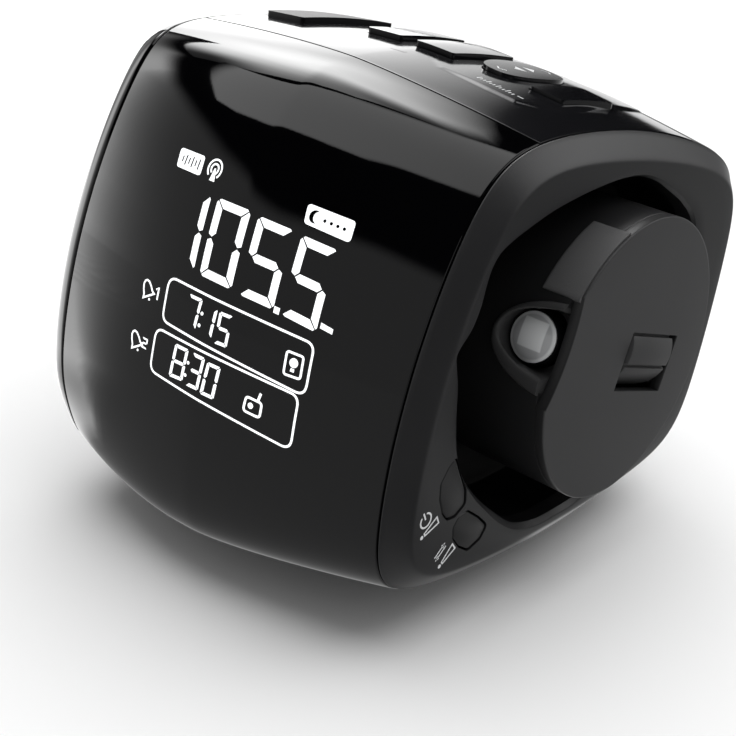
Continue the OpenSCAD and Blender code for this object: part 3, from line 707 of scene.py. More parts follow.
def polar(pts):
    """Radius at the angles TH of a smooth closed curve that winds once round the axis."""
    c = closed_spline(pts, 1440)
    a = np.unwrap(np.arctan2(c[:, 1], c[:, 0]))
    r = np.hypot(c[:, 0], c[:, 1])
    o = np.argsort(a % (2 * math.pi))
    a, r = (a % (2 * math.pi))[o], r[o]
    return np.interp(TH, np.concatenate([a - 2 * math.pi, a, a + 2 * math.pi]), np.tile(r, 3))


R_OPEN = np.minimum(polar(OPEN), END_R - 0.35)
R_LIP = np.minimum(polar(LIP), R_OPEN - 0.25)


def x_ring(x, r):
    return np.column_stack([np.full(NT, x) if np.isscalar(x) else x, r * np.cos(TH), r * np.sin(TH)])


BX0 = SEAM + 0.13
rings = [x_ring(BX0, END_R + 2.6), x_ring(BX0, END_R + 4.5), x_ring(BX0 + 0.06, END_R + 4.74), x_ring(BX0 + 0.24, END_R + 4.72)]
for s in np.linspace(0.12, 0.86, 9):
    rings.append(x_ring(BX0 + (RIDGE - BX0) * s, END_R + 4.86 * (1 - s) + 0.05 * math.sin(math.pi * s)))
# ridge rounded over, then the face
strip = np.clip((END_R - R_OPEN - 0.1) / 1.2, 0.15, 1)
rings.append(x_ring(RIDGE - 0.30, END_R + 0.36))
rings.append(x_ring(RIDGE - 0.14, END_R + 0.08))
rings.append(x_ring(RIDGE - 0.04, END_R - 0.22 * strip))
rings.append(x_ring(RIDGE, END_R - 0.62 * strip))
for s in (0.25, 0.5, 0.75):
    a = END_R - 0.62 * strip
    b = R_OPEN + 0.28 * strip
    rings.append(x_ring(RIDGE, a * (1 - s) + b * s))
rings.append(x_ring(RIDGE, R_OPEN + 0.28 * strip))
rings.append(x_ring(RIDGE - 0.05, R_OPEN + 0.10 * strip))
rings.append(x_ring(RIDGE - 0.20, R_OPEN))
w = R_OPEN - R_LIP
rings.append(x_ring(RIDGE - 0.20 - 0.55 * w, R_OPEN - 0.5 * w))
rings.append(x_ring(RIDGE - 0.20 - 1.2 * w, R_LIP + 0.02))
rings.append(x_ring(RIDGE - 0.45 - 1.3 * w, R_LIP))
rings.append(x_ring(RIDGE - 4.2, R_LIP))
rings.append(x_ring(RIDGE - 4.2, R_LIP + 1.2))
rings.append(x_ring(RIDGE - 4.2, END_R + 2.6))
cap = loft("end_cap_skin", rings, wrap=True)

KEY_A = [(-41.4, -9.6), (-43.2, -11.0), (-44.9, -13.6), (-44.6, -16.6), (-43.2, -20.0), (-41.6, -21.9), (-39.4, -22.2), (-36.7, -20.6), (-37.2, -17.6), (-39.6, -13.2)]
KEY_B = [(-35.6, -22.6), (-38.0, -23.0), (-39.3, -24.6), (-38.8, -27.0), (-36.6, -29.6), (-33.6, -31.6), (-30.2, -30.6), (-28.6, -28.4), (-31.6, -25.6)]
KA = round_poly(KEY_A, 1.2, 5)
KB = round_poly(KEY_B, 1.2, 5)
for K in (KA, KB):
    boolean(cap, prism("cutter", grow_poly(K, 0.32), -16, -6, "x"))
shade(cap, 28)
done(cap, "housing", "right_end_cap", M["satin"])

for K, nm, nd in ((KA, "side_key_upper", "key_projector"), (KB, "side_key_lower", "key_reverse")):
    k = prism(nm, K, -12.4, RIDGE - 0.12, "x")
    bevel(k, 0.35, 3, 50)
    shade(k)
    done(k, nd, nd, M["side_key"])

# the well behind the opening
inner = [x_ring(RIDGE - 4.25, np.maximum(R_LIP + 0.9, R_LIP)), x_ring(RIDGE - 4.25, R_LIP + 0.05), x_ring(-16, R_LIP + 0.0), x_ring(-23.6, R_LIP - 0.1), x_ring(-24.6, R_LIP - 0.7),
         x_ring(-25.0, R_LIP - 1.8), x_ring(-25.0, np.full(NT, 20.0)), x_ring(-25.0, np.full(NT, 9.1)), x_ring(-27.0, np.full(NT, 9.1)), x_ring(-27.0, R_LIP + 0.9)]
well = loft("well_skin", inner, wrap=True)
shade(well)
done(well, "housing", "projector_well", M["well"])

# ---------------------------------------------------------------- projector drum, in its own tilted frame
def turned_x(name, prof, n=240):
    """A closed (x, r) profile turned about the drum axis, in the drum's frame."""
    t = np.linspace(0, 2 * math.pi, n, endpoint=False)
    return loft(name, [tilt(np.column_stack([np.full(n, x), r * np.cos(t), r * np.sin(t)])) for x, r in prof], wrap=True)


def tilted_prism(name, pts_a, pts_b):
    """A prism between two equal rings given in the drum's frame."""
    return loft(name, [tilt(np.asarray(pts_a, float)), tilt(np.asarray(pts_b, float))])


def ellipse(a, b, xc, zc, n=96, p=1.0):
    t = np.linspace(0, 2 * math.pi, n, endpoint=False)
    c, s = np.cos(t), np.sin(t)
    return np.column_stack([xc + a * np.sign(c) * np.abs(c) ** p, zc + b * np.sign(s) * np.abs(s) ** p])


def xz(pts, y):
    """(x, z) outline at depth y, or at one depth for each point."""
    return np.column_stack([pts[:, 0], np.full(len(pts), y) if np.isscalar(y) else y, pts[:, 1]])


# cup: outer wall, front rim, inner wall, floor with the shaft's hole
cup = turned_x("drum_side_wall", [(-23.0, 7.05), (-23.0, 27.1), (-22.9, 27.6), (-22.5, 27.92), (-12.0, 27.92), (-2.12, 27.92), (-2.06, 27.85), (-2.06, 25.4), (-21.4, 25.4), (-21.4, 7.05)])
eye = ellipse(13.4, 7.9, 0, 0.6)
boolean(cup, tilted_prism("cutter", xz(eye, -20.5), xz(eye, -32)))
shade(cup)
done(cup, "projector", "drum_shell", M["drum"])

# face plate with its rounded edge, the notch over the lens and the focus window
t = np.linspace(0, 2 * math.pi, 360, endpoint=False)
prof = [(-2.0, 27.86), (-1.95, 27.94), (-1.6, 27.95), (-0.42, 27.95), (-0.22, 27.92), (-0.08, 27.84), (-0.01, 27.7), (0.0, 27.52)]
plate = loft("drum_face_plate", [tilt(np.column_stack([np.full(360, x), r * np.cos(t), r * np.sin(t)])) for x, r in prof])
q = np.linspace(0, 2 * math.pi, 240, endpoint=False)
cut = [np.column_stack([np.full(240, x), -64.6 + r * np.cos(q), 1.4 + r * np.sin(q)]) for x, r in ((-6, 40.0), (-0.35, 40.0), (-0.1, 40.12), (0.3, 40.5), (2, 42.2))]
boolean(plate, loft("cutter", [tilt(c) for c in cut]))
WIN = round_poly([(-2.9, -6.1), (16.0, -6.1), (16.0, 5.35), (-2.9, 5.35)], 0.25, 3)
cut = [np.column_stack([np.full(len(w_), x), w_]) for x, w_ in ((-6, WIN), (-0.2, WIN), (0.02, grow_poly(WIN, 0.12)), (1, grow_poly(WIN, 1.1)))]
boolean(plate, loft("cutter", [tilt(c) for c in cut]))
ra = np.linspace(0, 2 * math.pi, 160, endpoint=False)
boolean(plate, loft("cutter", [tilt(np.column_stack([-7.4 + 8.5 * np.cos(ra), np.full(160, y), 1.3 + 8.5 * np.sin(ra)])) for y in (-2.85, 15.55)]))
shade(plate, 30)
done(plate, "projector", "drum_face", M["disc"])
# the plate's side wall and the outer part of its rounded edge, picked by which way they face, take the darker drum
# colour: painted shade that keeps the plate's thickness from showing as a lit band
plate.data.materials.append(M["drum"])
for p in plate.data.polygons:
    p.material_index = 1 if abs(p.normal.x) < 0.45 else 0

# focus wheel seen in the window: broad flats with a groove between them
AX, AZ = -7.4, 1.3


def about_optical(r, a, y):
    return np.column_stack([AX + r * np.cos(a), np.full(len(a), y) if np.isscalar(y) else y, AZ + r * np.sin(a)])


fa = np.linspace(0, 2 * math.pi, 720, endpoint=False)
gr = np.full(720, 8.15)
for i in range(8):
    c = math.radians(-16.5 + 45 * i)
    d = np.abs((fa - c + math.pi) % (2 * math.pi) - math.pi) * 8.2
    gr = gr - 0.65 * np.clip(1 - (d / 0.42) ** 4, 0, 1)
wheel = [about_optical(gr - 0.5, fa, 14.65), about_optical(gr - 0.12, fa, 14.5), about_optical(gr, fa, 14.15), about_optical(gr, fa, -1.8), about_optical(gr - 0.12, fa, -2.15), about_optical(gr - 0.5, fa, -2.3),
         about_optical(np.full(720, 5.25), fa, -2.3), about_optical(np.full(720, 5.25), fa, 14.65)]
fw = loft("focus_wheel_skin", [tilt(r) for r in wheel], wrap=True)
shade(fw)
done(fw, "focus_wheel", "focus_wheel", M["wheel"])

# thumb pad on the drum's side
PR, PX = 27.9, (-8.3, -0.5)
xs_ = np.concatenate([[PX[0], PX[0] + 0.06, PX[0] + 0.2, PX[0] + 0.45], np.linspace(PX[0] + 1, PX[1] - 0.5, 12), [PX[1] - 0.15, PX[1]]])
as_ = np.concatenate([np.radians([124.5, 124.62, 124.9, 125.4]), np.radians(np.linspace(126.5, 157, 40)), np.radians([158.1, 158.6, 158.88, 159])])
X, A = np.meshgrid(xs_, as_, indexing="ij")
lift = 0.45 * np.minimum(np.sqrt(np.clip((X - PX[0]) / 0.5, 0, 1) * (2 - np.clip((X - PX[0]) / 0.5, 0, 1))),
                         np.minimum(*[np.sqrt(c * (2 - c)) for c in (np.clip((A - as_[0]) * 27 / 0.5, 0, 1), np.clip((as_[-1] - A) * 27 / 0.5, 0, 1))]))
Ro = PR + 0.02 + lift
O = np.stack([X, Ro * np.cos(A), Ro * np.sin(A)], -1).reshape(-1, 3)
I = np.stack([X, (PR - 0.5) * np.cos(A), (PR - 0.5) * np.sin(A)], -1).reshape(-1, 3)
m_, n_ = X.shape
N_ = m_ * n_
faces = grid_faces(m_, n_) + grid_faces(m_, n_, N_, True)
for i in range(m_ - 1):
    a = i * n_
    faces.append((a, a + n_, N_ + a + n_, N_ + a))
    a = i * n_ + n_ - 1
    faces.append((a + n_, a, N_ + a, N_ + a + n_))
for j in range(n_ - 1):
    faces.append((j + 1, j, N_ + j, N_ + j + 1))
    a = (m_ - 1) * n_ + j
    faces.append((a, a + 1, N_ + a + 1, N_ + a))
pad = new_object("thumb_pad_skin", tilt(np.concatenate([O, I])), faces)
fix_normals(pad)
shade(pad)
done(pad, "projector", "thumb_pad", M["pad"])

# hood round the lens: an oval funnel that stands out of the drum's side, cut off by the face plate
HN = 160
ht = np.linspace(0, 2 * math.pi, HN, endpoint=False)


def hood_ring(a, b, zc, r_or_y, by_radius=True, xc=0.0):
    """Oval ring in (x, z); its depth follows a cylinder of that radius about the drum axis, or is flat."""
    x, z = xc + a * np.cos(ht), zc + b * np.sin(ht)
    y = -np.sqrt(np.maximum(r_or_y ** 2 - z ** 2, 1)) if by_radius else np.full(HN, r_or_y)
    return np.column_stack([x, y, z])


def clear_of_barrel(ring, r=5.2):
    """Moves the places of a ring that are nearer than r to the optical axis out to r."""
    d = ring[:, [0, 2]] - np.array([AX, AZ])
    k = np.maximum(1, r / np.linalg.norm(d, axis=1))
    out = ring.copy()
    out[:, [0, 2]] = np.array([AX, AZ]) + d * k[:, None]
    return out


rings = [hood_ring(13.9, 8.4, 0.6, -22.6, False), hood_ring(14.0, 8.5, 0.6, 27.0), hood_ring(14.0, 8.5, 0.6, 27.9), hood_ring(13.97, 8.45, 0.6, 28.35), hood_ring(13.85, 8.3, 0.64, 28.66),
         hood_ring(13.62, 7.95, 0.72, 28.86), hood_ring(13.35, 7.45, 0.85, 28.9), hood_ring(13.05, 7.0, 1.1, 28.86), hood_ring(12.9, 6.55, 1.3, 28.7), hood_ring(12.8, 6.3, 1.42, 28.3),
         clear_of_barrel(hood_ring(12.7, 6.2, 1.45, 27.6))]
for s in (0.15, 0.4, 0.7, 1.0):
    a, b, zc, xc = 12.7 * (1 - s) + 5.45 * s, 6.15 * (1 - s) + 5.45 * s, 1.45 * (1 - s) + AZ * s, AX * s
    y = -(27.3 * (1 - s) + 22.5 * s) if s < 1 else -22.2
    base = clear_of_barrel(hood_ring(a, b, zc, 27.4 * (1 - s) + 22.6 * s, True, xc))
    rings.append(base)
rings.append(hood_ring(5.45, 5.45, AZ, -20.0, False, AX))
rings.append(hood_ring(6.4, 6.4, AZ, -20.0, False, AX))
hood = loft("lens_hood_skin", [tilt(r) for r in rings], wrap=True)
boolean(hood, tilted_prism("cutter", [(-2.1, -40, -20), (-2.1, -10, -20), (-2.1, -10, 20), (-2.1, -40, 20)], [(20, -40, -20), (20, -10, -20), (20, -10, 20), (20, -40, 20)]))
shade(hood, 40)
done(hood, "projector", "lens_hood", M["hood"])

# barrel rim and lens
bt = np.linspace(0, 2 * math.pi, 128, endpoint=False)


def opt_ring(r, y):
    return tilt(np.column_stack([AX + r * np.cos(bt), np.full(128, y), AZ + r * np.sin(bt)]))


barrel = loft("lens_barrel_skin", [opt_ring(4.05, 16.8), opt_ring(5.15, 16.8), opt_ring(5.15, -21.0), opt_ring(4.96, -21.4), opt_ring(4.96, -25.0), opt_ring(4.9, -25.14), opt_ring(4.82, -25.2), opt_ring(4.72, -25.2), opt_ring(4.64, -25.1),
                                   opt_ring(4.62, -24.8), opt_ring(4.62, -22.1), opt_ring(4.05, -22.1)], wrap=True)
shade(barrel)
done(barrel, "lens", "lens_barrel", M["well"])
lr = []
for k in range(0, 13):
    r = 4.58 * (1 - k / 13)
    lr.append(opt_ring(max(r, 0.25), -(22.15 + 3.2 + (math.sqrt(11 * 11 - r * r) - math.sqrt(11 * 11 - 4.58 ** 2)))))
lens = loft("front_lens", [opt_ring(4.3, -22.15), opt_ring(4.58, -22.3)] + lr)
shade(lens)
done(lens, "lens", "projector_lens", M["lens"])

# ---------------------------------------------------------------- keys on the top
def top_key(name, node, poly, x0, x1, r=0.9, dish=0.0):
    body = slab("tmp", x1 + 1.5, x0 - 1.5, 66, 114, 60, 90, out=1.2, deep=2.0, rim=0.05)
    boolean(body, prism("cutter", poly if r == 0 else round_poly(poly, r), 25, 70), "INTERSECT")
    body.name = name
    body.data.name = name
    bevel(body, 0.45, 3, 40)
    shade(body, 30)
    skin_normals(body, offset=1.2)
    return body


for nd, p in KEYS.items():
    k = top_key(nd + "_cap", nd, p, p[0][0], p[1][0])
    done(k, nd, nd, M["snooze" if nd == "key_snooze" else "key"])
k = top_key("tuning_rocker_cap", "tuning_rocker", rocker(0), -41.7, -31.3, 0)
done(k, "tuning_rocker", "tuning_rocker", M["key"])

# ---------------------------------------------------------------- printed and lit marks
class Marks:
    """Flat marks drawn in two coordinates, cut into small cells and laid on a surface as thin closed solids."""

    def __init__(self, cell=1.1):
        self.bm = bmesh.new()
        self.cell = cell

    def face(self, pts):
        vs = [self.bm.verts.new((float(p[0]), float(p[1]), 0)) for p in pts]
        self.bm.faces.new(vs)

    def strip(self, a, b, closed=True):
        """Band between two equal lists of points."""
        n = len(a)
        for i in range(n if closed else n - 1):
            k = (i + 1) % n
            self.face([a[i], a[k], b[k], b[i]])

    def line(self, pts, w, closed=False, caps=True):
        pts = np.asarray(pts, float)
        if closed:
            self.strip(grow_poly(pts, w / 2), grow_poly(pts, -w / 2))
            return
        d = np.gradient(pts, axis=0)
        d /= np.linalg.norm(d, axis=1)[:, None]
        nrm = np.column_stack([-d[:, 1], d[:, 0]])
        if caps:
            pts = pts.copy()
            pts[0] -= d[0] * w * 0.35
            pts[-1] += d[-1] * w * 0.35
        self.strip(pts + nrm * w / 2, pts - nrm * w / 2, False)

    def disc(self, c, r, n=20):
        t = np.linspace(0, 2 * math.pi, n, endpoint=False)
        self.face([(c[0] + r * math.cos(a), c[1] + r * math.sin(a)) for a in t])

    def lay(self, name, where, high=0.03, low=-0.03):
        """where(points, offset) gives the places on the surface."""
        bm = self.bm
        bmesh.ops.remove_doubles(bm, verts=bm.verts, dist=1e-4)
        co = np.array([v.co for v in bm.verts])
        for k in (0, 1):
            lo_, hi_ = co[:, k].min(), co[:, k].max()
            for c in np.arange(math.floor(lo_ / self.cell) + 1, math.ceil(hi_ / self.cell)) * self.cell:
                nrm = (1, 0, 0) if k == 0 else (0, 1, 0)
                at = (c, 0, 0) if k == 0 else (0, c, 0)
                bmesh.ops.bisect_plane(bm, geom=bm.verts[:] + bm.edges[:] + bm.faces[:], plane_co=at, plane_no=nrm, dist=1e-5)
        bmesh.ops.triangulate(bm, faces=bm.faces[:])
        bm.verts.index_update()
        P = np.array([v.co for v in bm.verts])[:, :2]
        F = [[v.index for v in f.verts] for f in bm.faces]
        bm.free()
        # one winding for all
        out = []
        for f in F:
            a, b, c = P[f]
            out.append(f if (b[0] - a[0]) * (c[1] - a[1]) - (b[1] - a[1]) * (c[0] - a[0]) > 0 else f[::-1])
        edges = {}
        for f in out:
            for i in range(3):
                e = (f[i], f[(i + 1) % 3])
                edges[e] = edges.get(e, 0) + 1
        rim = [e for e in edges if (e[1], e[0]) not in edges]
        n_ = len(P)
        A, B = where(P, high), where(P, low)
        faces = out + [[v + n_ for v in f[::-1]] for f in out] + [[e[1], e[0], e[0] + n_, e[1] + n_] for e in rim]
        ob = new_object(name, np.concatenate([A, B]), faces)
        fix_normals(ob)
        return ob


def on_front(P, off):
    """Places on the front, seen along the optical axis; P is (x, height) in the drum's frame."""
    P = np.asarray(P, float)
    a, b = np.full(len(P), -75.0), np.full(len(P), -15.0)
    for _ in range(40):
        m_ = (a + b) / 2
        out = field(tilt(np.column_stack([P[:, 0], m_, P[:, 1]]))) - off > 0
        a, b = np.where(out, m_, a), np.where(out, b, m_)
    return tilt(np.column_stack([P[:, 0], a, P[:, 1]]))


def on_top(P, off):
    P = np.asarray(P, float)
    a, b = np.full(len(P), 65.0), np.full(len(P), 20.0)
    for _ in range(40):
        m_ = (a + b) / 2
        out = field(np.column_stack([P, m_]), True) - off > 0
        a, b = np.where(out, m_, a), np.where(out, b, m_)
    return np.column_stack([P, a])


def on_cap(P, off):
    """Places on the right end's face; P is (y, z)."""
    return np.column_stack([np.full(len(P), RIDGE + off), P])


def quad_map(corners, size):
    """Maps a box of that size, measured from its lower left corner, onto four corners TL, TR, BR, BL."""
    TL, TR, BR, BL = [np.array(c, float) for c in corners]

    def f(p):
        u, v = p[0] / size[0], p[1] / size[1]
        return (BL * (1 - u) + BR * u) * (1 - v) + (TL * (1 - u) + TR * u) * v
    return f


SEGMENTS = {"0": "ABCDEF", "1": "BC", "2": "ABGED", "3": "ABGCD", "5": "AFGCD", "7": "ABC", "8": "ABCDEFG"}


def digit(marks, ch, corners, size, t, g, tip=0.35):
    """A seven-segment digit with mitred strokes of width t and gaps g."""
    w, h = size
    m_ = h / 2
    s = t * tip
    shapes = {
        "A": [(g + s, h), (w - g - s, h), (w - g - s * 0.4, h - s * 0.5), (w - g - t, h - t), (g + t, h - t), (g + s * 0.4, h - s * 0.5)],
        "F": [(0, h - g - s), (s * 0.5, h - g - s * 0.4), (t, h - g - t), (t, m_ + t / 2 + g), (t / 2, m_ + g * 0.8), (0, m_ + g + s * 0.6)],
        "G": [(g + t / 2, m_), (g + t, m_ + t / 2), (w - g - t, m_ + t / 2), (w - g - t / 2, m_), (w - g - t, m_ - t / 2), (g + t, m_ - t / 2)],
    }
    shapes["D"] = [(x, h - z) for x, z in shapes["A"]]
    shapes["E"] = [(x, h - z) for x, z in shapes["F"]]
    shapes["B"] = [(w - x, z) for x, z in shapes["F"]]
    shapes["C"] = [(w - x, h - z) for x, z in shapes["F"]]
    f = quad_map(corners, size)
    for k in SEGMENTS[ch]:
        marks.face([f(p) for p in shapes[k]])


def rounded(corners, r, n=6):
    return round_poly([corners[3], corners[2], corners[1], corners[0]], r, n)


lit = Marks()
W0, H0 = 7.4, 13.8
digit(lit, "1", [(-66.1, 8.3), (-58.7, 8.3), (-57.4, -5.2), (-64.8, -5.2)], (W0, 13.5), 1.5, 0.2)
digit(lit, "0", [(-57.0, 8.4), (-49.1, 8.35), (-48.1, -5.65), (-55.8, -5.4)], (W0, H0), 1.5, 0.2)
digit(lit, "5", [(-47.3, 8.05), (-39.7, 7.8), (-38.9, -6.1), (-46.3, -5.85)], (W0, H0), 1.5, 0.2)
digit(lit, "5", [(-38.0, 7.6), (-30.6, 7.25), (-29.9, -6.95), (-37.2, -6.3)], (W0, H0), 1.5, 0.2)
lit.face([(-38.8, -5.35), (-37.65, -5.4), (-37.6, -6.55), (-38.75, -6.5)])
lit.face([(-29.45, -5.0), (-27.0, -5.35), (-26.95, -6.25), (-29.4, -6.0)])
# alarm boxes
lit.line(rounded([(-62.7, -7.95), (-29.5, -8.95), (-28.95, -18.1), (-62.1, -16.1)], 1.9, 8), 0.42, closed=True)
lit.line(rounded([(-63.1, -17.8), (-30.0, -18.5), (-29.75, -28.3), (-63.0, -26.0)], 1.9, 8), 0.42, closed=True)
SW, SH, ST_ = 3.0, 5.9, 0.62
digit(lit, "7", [(-56.9, -9.3), (-53.5, -9.3), (-53.7, -14.95), (-57.1, -14.95)], (3.4, SH), ST_, 0.12)
digit(lit, "1", [(-53.0, -9.8), (-49.7, -9.8), (-49.75, -15.2), (-53.0, -15.2)], (3.3, SH), ST_, 0.12)
digit(lit, "5", [(-49.2, -9.95), (-46.2, -9.9), (-46.1, -15.65), (-48.95, -15.75)], (SW, SH), ST_, 0.12)
for c in ((-52.95, -11.7), (-53.0, -13.9)):
    lit.disc(c, 0.34)
digit(lit, "8", [(-57.6, -18.9), (-54.15, -18.9), (-54.4, -25.0), (-57.95, -25.25)], (3.4, 6.2), ST_, 0.12)
digit(lit, "3", [(-53.05, -18.95), (-50.05, -19.0), (-50.45, -25.3), (-53.5, -25.35)], (SW, 6.2), ST_, 0.12)
digit(lit, "0", [(-49.4, -19.4), (-46.35, -19.4), (-46.75, -25.6), (-49.95, -25.6)], (SW, 6.2), ST_, 0.12)
for c in ((-53.75, -21.2), (-53.95, -23.6)):
    lit.disc(c, 0.32)
# lamp symbol in a frame
lit.line(rounded([(-34.2, -11.75), (-30.85, -11.7), (-30.55, -15.6), (-33.9, -15.8)], 0.55, 5), 0.42, closed=True)
lit.disc((-32.42, -13.35), 0.85)
lit.face([(-32.75, -14.35), (-32.05, -14.35), (-32.0, -14.95), (-32.8, -14.95)])
# radio set with its aerial
lit.line(rounded([(-40.1, -22.3), (-36.75, -22.4), (-36.75, -25.1), (-40.3, -25.0)], 0.7, 5), 0.45, closed=True)
lit.disc((-38.95, -23.65), 0.55)
lit.line([(-37.6, -22.1), (-37.35, -20.95)], 0.5)


def bell(marks, c, s, ang):
    """Outline of a bell with its clapper."""
    prof = [(-1.25, -1.05), (-0.95, -0.55), (-0.86, 0.2), (-0.62, 0.95), (-0.22, 1.3), (0.22, 1.3), (0.62, 0.95), (0.86, 0.2), (0.95, -0.55), (1.25, -1.05)]
    ca, sa = math.cos(ang), math.sin(ang)

    def f(p):
        return (c[0] + s * (p[0] * ca - p[1] * sa), c[1] + s * (p[0] * sa + p[1] * ca))
    marks.line([f(p) for p in prof], 0.36, closed=True)
    marks.disc(f((0, -1.62)), 0.24)


bell(lit, (-67.55, -11.95), 1.22, math.radians(30))
bell(lit, (-68.1, -21.9), 1.22, math.radians(30))
lit.line([(-65.15, -11.25), (-64.65, -10.8), (-64.55, -12.95)], 0.4)
digit(lit, "2", [(-66.3, -20.75), (-64.75, -20.75), (-64.75, -22.75), (-66.3, -22.75)], (1.6, 2.2), 0.36, 0.03)
# filled badges
lit.face(rounded([(-39.05, 12.95), (-29.5, 12.7), (-29.15, 9.05), (-38.5, 9.55)], 0.75, 5))
lit.face(rounded([(-70.0, 14.2), (-63.45, 14.2), (-63.05, 10.65), (-69.5, 10.75)], 0.65, 5))
# broadcast symbol
for r, a0, a1 in ((1.62, -50, 230), (0.86, -55, 235)):
    a = np.radians(np.linspace(a0, a1, 22))
    lit.line(np.column_stack([-60.2 + r * np.cos(a), 12.75 + r * 1.05 * np.sin(a)]), 0.36, caps=False)
lit.face([(-60.3, 12.9), (-59.95, 12.9), (-59.3, 10.6), (-60.6, 10.6)])
done(lit.lay("display_marks", on_front), "housing", None, M["lit"])

# dark symbols on the badges: a moon with dots, and a scale of ticks
dark = Marks()
a = np.radians(np.linspace(60, 300, 19))
outer = [(-36.9 + 1.12 * math.cos(t_), 11.15 + 1.12 * math.sin(t_)) for t_ in a]
inner_ = [(-36.42 + 0.88 * math.cos(t_) * 0.9, 11.15 + 0.98 * math.sin(t_)) for t_ in a]
dark.strip(outer, inner_, False)
for i in range(4):
    dark.disc((-34.9 + 1.3 * i, 11.05 - 0.05 * i), 0.3, 14)
for i in range(6):
    x = -68.55 + 0.86 * i
    hgt = 0.95 if i % 2 else 0.55
    dark.face([(x - 0.14, 12.45 - hgt), (x + 0.14, 12.45 - hgt), (x + 0.14, 12.45 + hgt), (x - 0.14, 12.45 + hgt)])
done(dark.lay("badge_symbols", on_front, 0.05, 0.02), "housing", None, M["piano"])

# ---- marks on the right end, beside its two keys
side = Marks(2.0)


def placed(at, u):
    u = np.array(u, float) / np.linalg.norm(u)
    v = np.array([-u[1], u[0]])
    at = np.array(at, float)
    return lambda p: at + u * p[0] + v * p[1]


def beam(f, length, w):
    """A lamp with its widening beam."""
    side.disc(f((0.45, 0)), 0.42, 16)
    side.line([f(p) for p in ((1.25, -0.28), (length, -0.82), (length, 0.82), (1.25, 0.28))], w, closed=True)


f = placed((-48.0, -19.6), (0.89, 0.45))
a = np.radians(np.linspace(122, 418, 26))
side.line([f((1.42 * math.cos(t_), 1.42 * math.sin(t_))) for t_ in a], 0.36)
side.line([f((0, 0.35)), f((0, 1.75))], 0.36)
beam(placed((-48.95, -23.1), (0.89, 0.45)), 5.0, 0.32)
f = placed((-43.9, -29.7), (0.76, 0.65))
for s in (1, -1):
    side.line([f((0.5, 0.42 * s)), f((3.5, 0.42 * s))], 0.28)
    tip_ = 3.9 if s > 0 else 0.1
    side.face([f((tip_, 0.42 * s)), f((tip_ - 1.0 * s, 0.42 * s + 0.5)), f((tip_ - 1.0 * s, 0.42 * s - 0.5))])
beam(placed((-42.35, -31.85), (0.79, 0.62)), 5.0, 0.32)
done(side.lay("side_key_marks", on_cap, 0.03, -0.03), "housing", None, M["print"])

# ---- marks on the top
tm = Marks(0.9)
for i in range(12):
    x = -34.6 + 0.72 * i
    hgt = 0.85 if i % 3 == 0 else 0.45
    tm.face([(x - 0.11, -12.75), (x + 0.11, -12.75), (x + 0.11, -12.75 + 2 * hgt), (x - 0.11, -12.75 + 2 * hgt)])
tm.line([(-25.7, -12.0), (-24.7, -11.95)], 0.3)
done(tm.lay("top_scale_mark", on_top), "housing", None, M["print"])
dm = Marks(0.9)
dm.face([(-70.2, -9.6), (-67.6, -9.3), (-67.6, -8.6), (-70.0, -8.7)])
dm.face([(-52.3, -16.3), (-49.6, -15.6), (-49.6, -14.7), (-51.0, -15.2)])
done(dm.lay("top_dark_marks", on_top), "housing", None, M["top"])


def on_key(P, off):
    return on_top_key(P, off + 1.2)


def on_top_key(P, off):
    P = np.asarray(P, float)
    a, b = np.full(len(P), 65.0), np.full(len(P), 20.0)
    for _ in range(40):
        m_ = (a + b) / 2
        out = field(np.column_stack([P, m_])) - off > 0
        a, b = np.where(out, m_, a), np.where(out, b, m_)
    return np.column_stack([P, a])


rk = Marks(0.9)
for s in (-1, 1):
    c = 5 + 8.0 * s
    rk.line([(-37.5, c - 0.5 * s), (-36.5, c + 0.55 * s), (-35.5, c - 0.5 * s)], 0.34)
for k in (-1, 1):
    y0 = 5 + 2.1 * k
    rk.face([(-37.9, y0 - 1.0 * k), (-35.1, y0 - 1.0 * k), (-36.5, y0 + 1.2 * k)] if k > 0 else [(-37.9, y0 - 1.0 * k), (-36.5, y0 + 1.2 * k), (-35.1, y0 - 1.0 * k)])
done(rk.lay("rocker_marks", on_key), "tuning_rocker", None, M["print"])

# ---------------------------------------------------------------- camera
right = Vector((0.746855, 0.657787, 0.097593))
down = Vector((0.349369, -0.263258, -0.899242))
fwd = Vector((-0.565818, 0.705699, -0.426426))
cam = bpy.data.objects.new("camera", bpy.data.cameras.new("camera"))
bpy.context.scene.collection.objects.link(cam)
cam.matrix_world = Matrix.Translation(mm([109.2536, -214.2691, 103.6508])) @ Matrix((right, -down, -fwd)).transposed().to_4x4()
cam.data.sensor_width = 36.0
cam.data.lens = 67.3813
cam.data.clip_start, cam.data.clip_end = 0.01, 120
bpy.context.scene.camera = cam

# ---------------------------------------------------------------- floor and light
fl = bpy.data.materials.new("floor_white")
fl.use_nodes = True
fl.node_tree.nodes["Principled BSDF"].inputs["Base Color"].default_value = (0.92, 0.92, 0.92, 1)
fl.node_tree.nodes["Principled BSDF"].inputs["Roughness"].default_value = 0.9
# seen from underneath the floor lets the view through, so that the underside can be looked at
nt_ = fl.node_tree
side_ = nt_.nodes.new("ShaderNodeNewGeometry")
clear_ = nt_.nodes.new("ShaderNodeBsdfTransparent")
both_ = nt_.nodes.new("ShaderNodeMixShader")
nt_.links.new(side_.outputs["Backfacing"], both_.inputs[0])
nt_.links.new(nt_.nodes["Principled BSDF"].outputs[0], both_.inputs[1])
nt_.links.new(clear_.outputs[0], both_.inputs[2])
nt_.links.new(both_.outputs[0], nt_.nodes["Material Output"].inputs["Surface"])
floor = new_object("floor", [(-30, -30, 0), (30, -30, 0), (30, 30, 0), (-30, 30, 0)], [(0, 1, 2, 3)], metres=True)
floor.data.materials.append(fl)
floor.visible_glossy = False

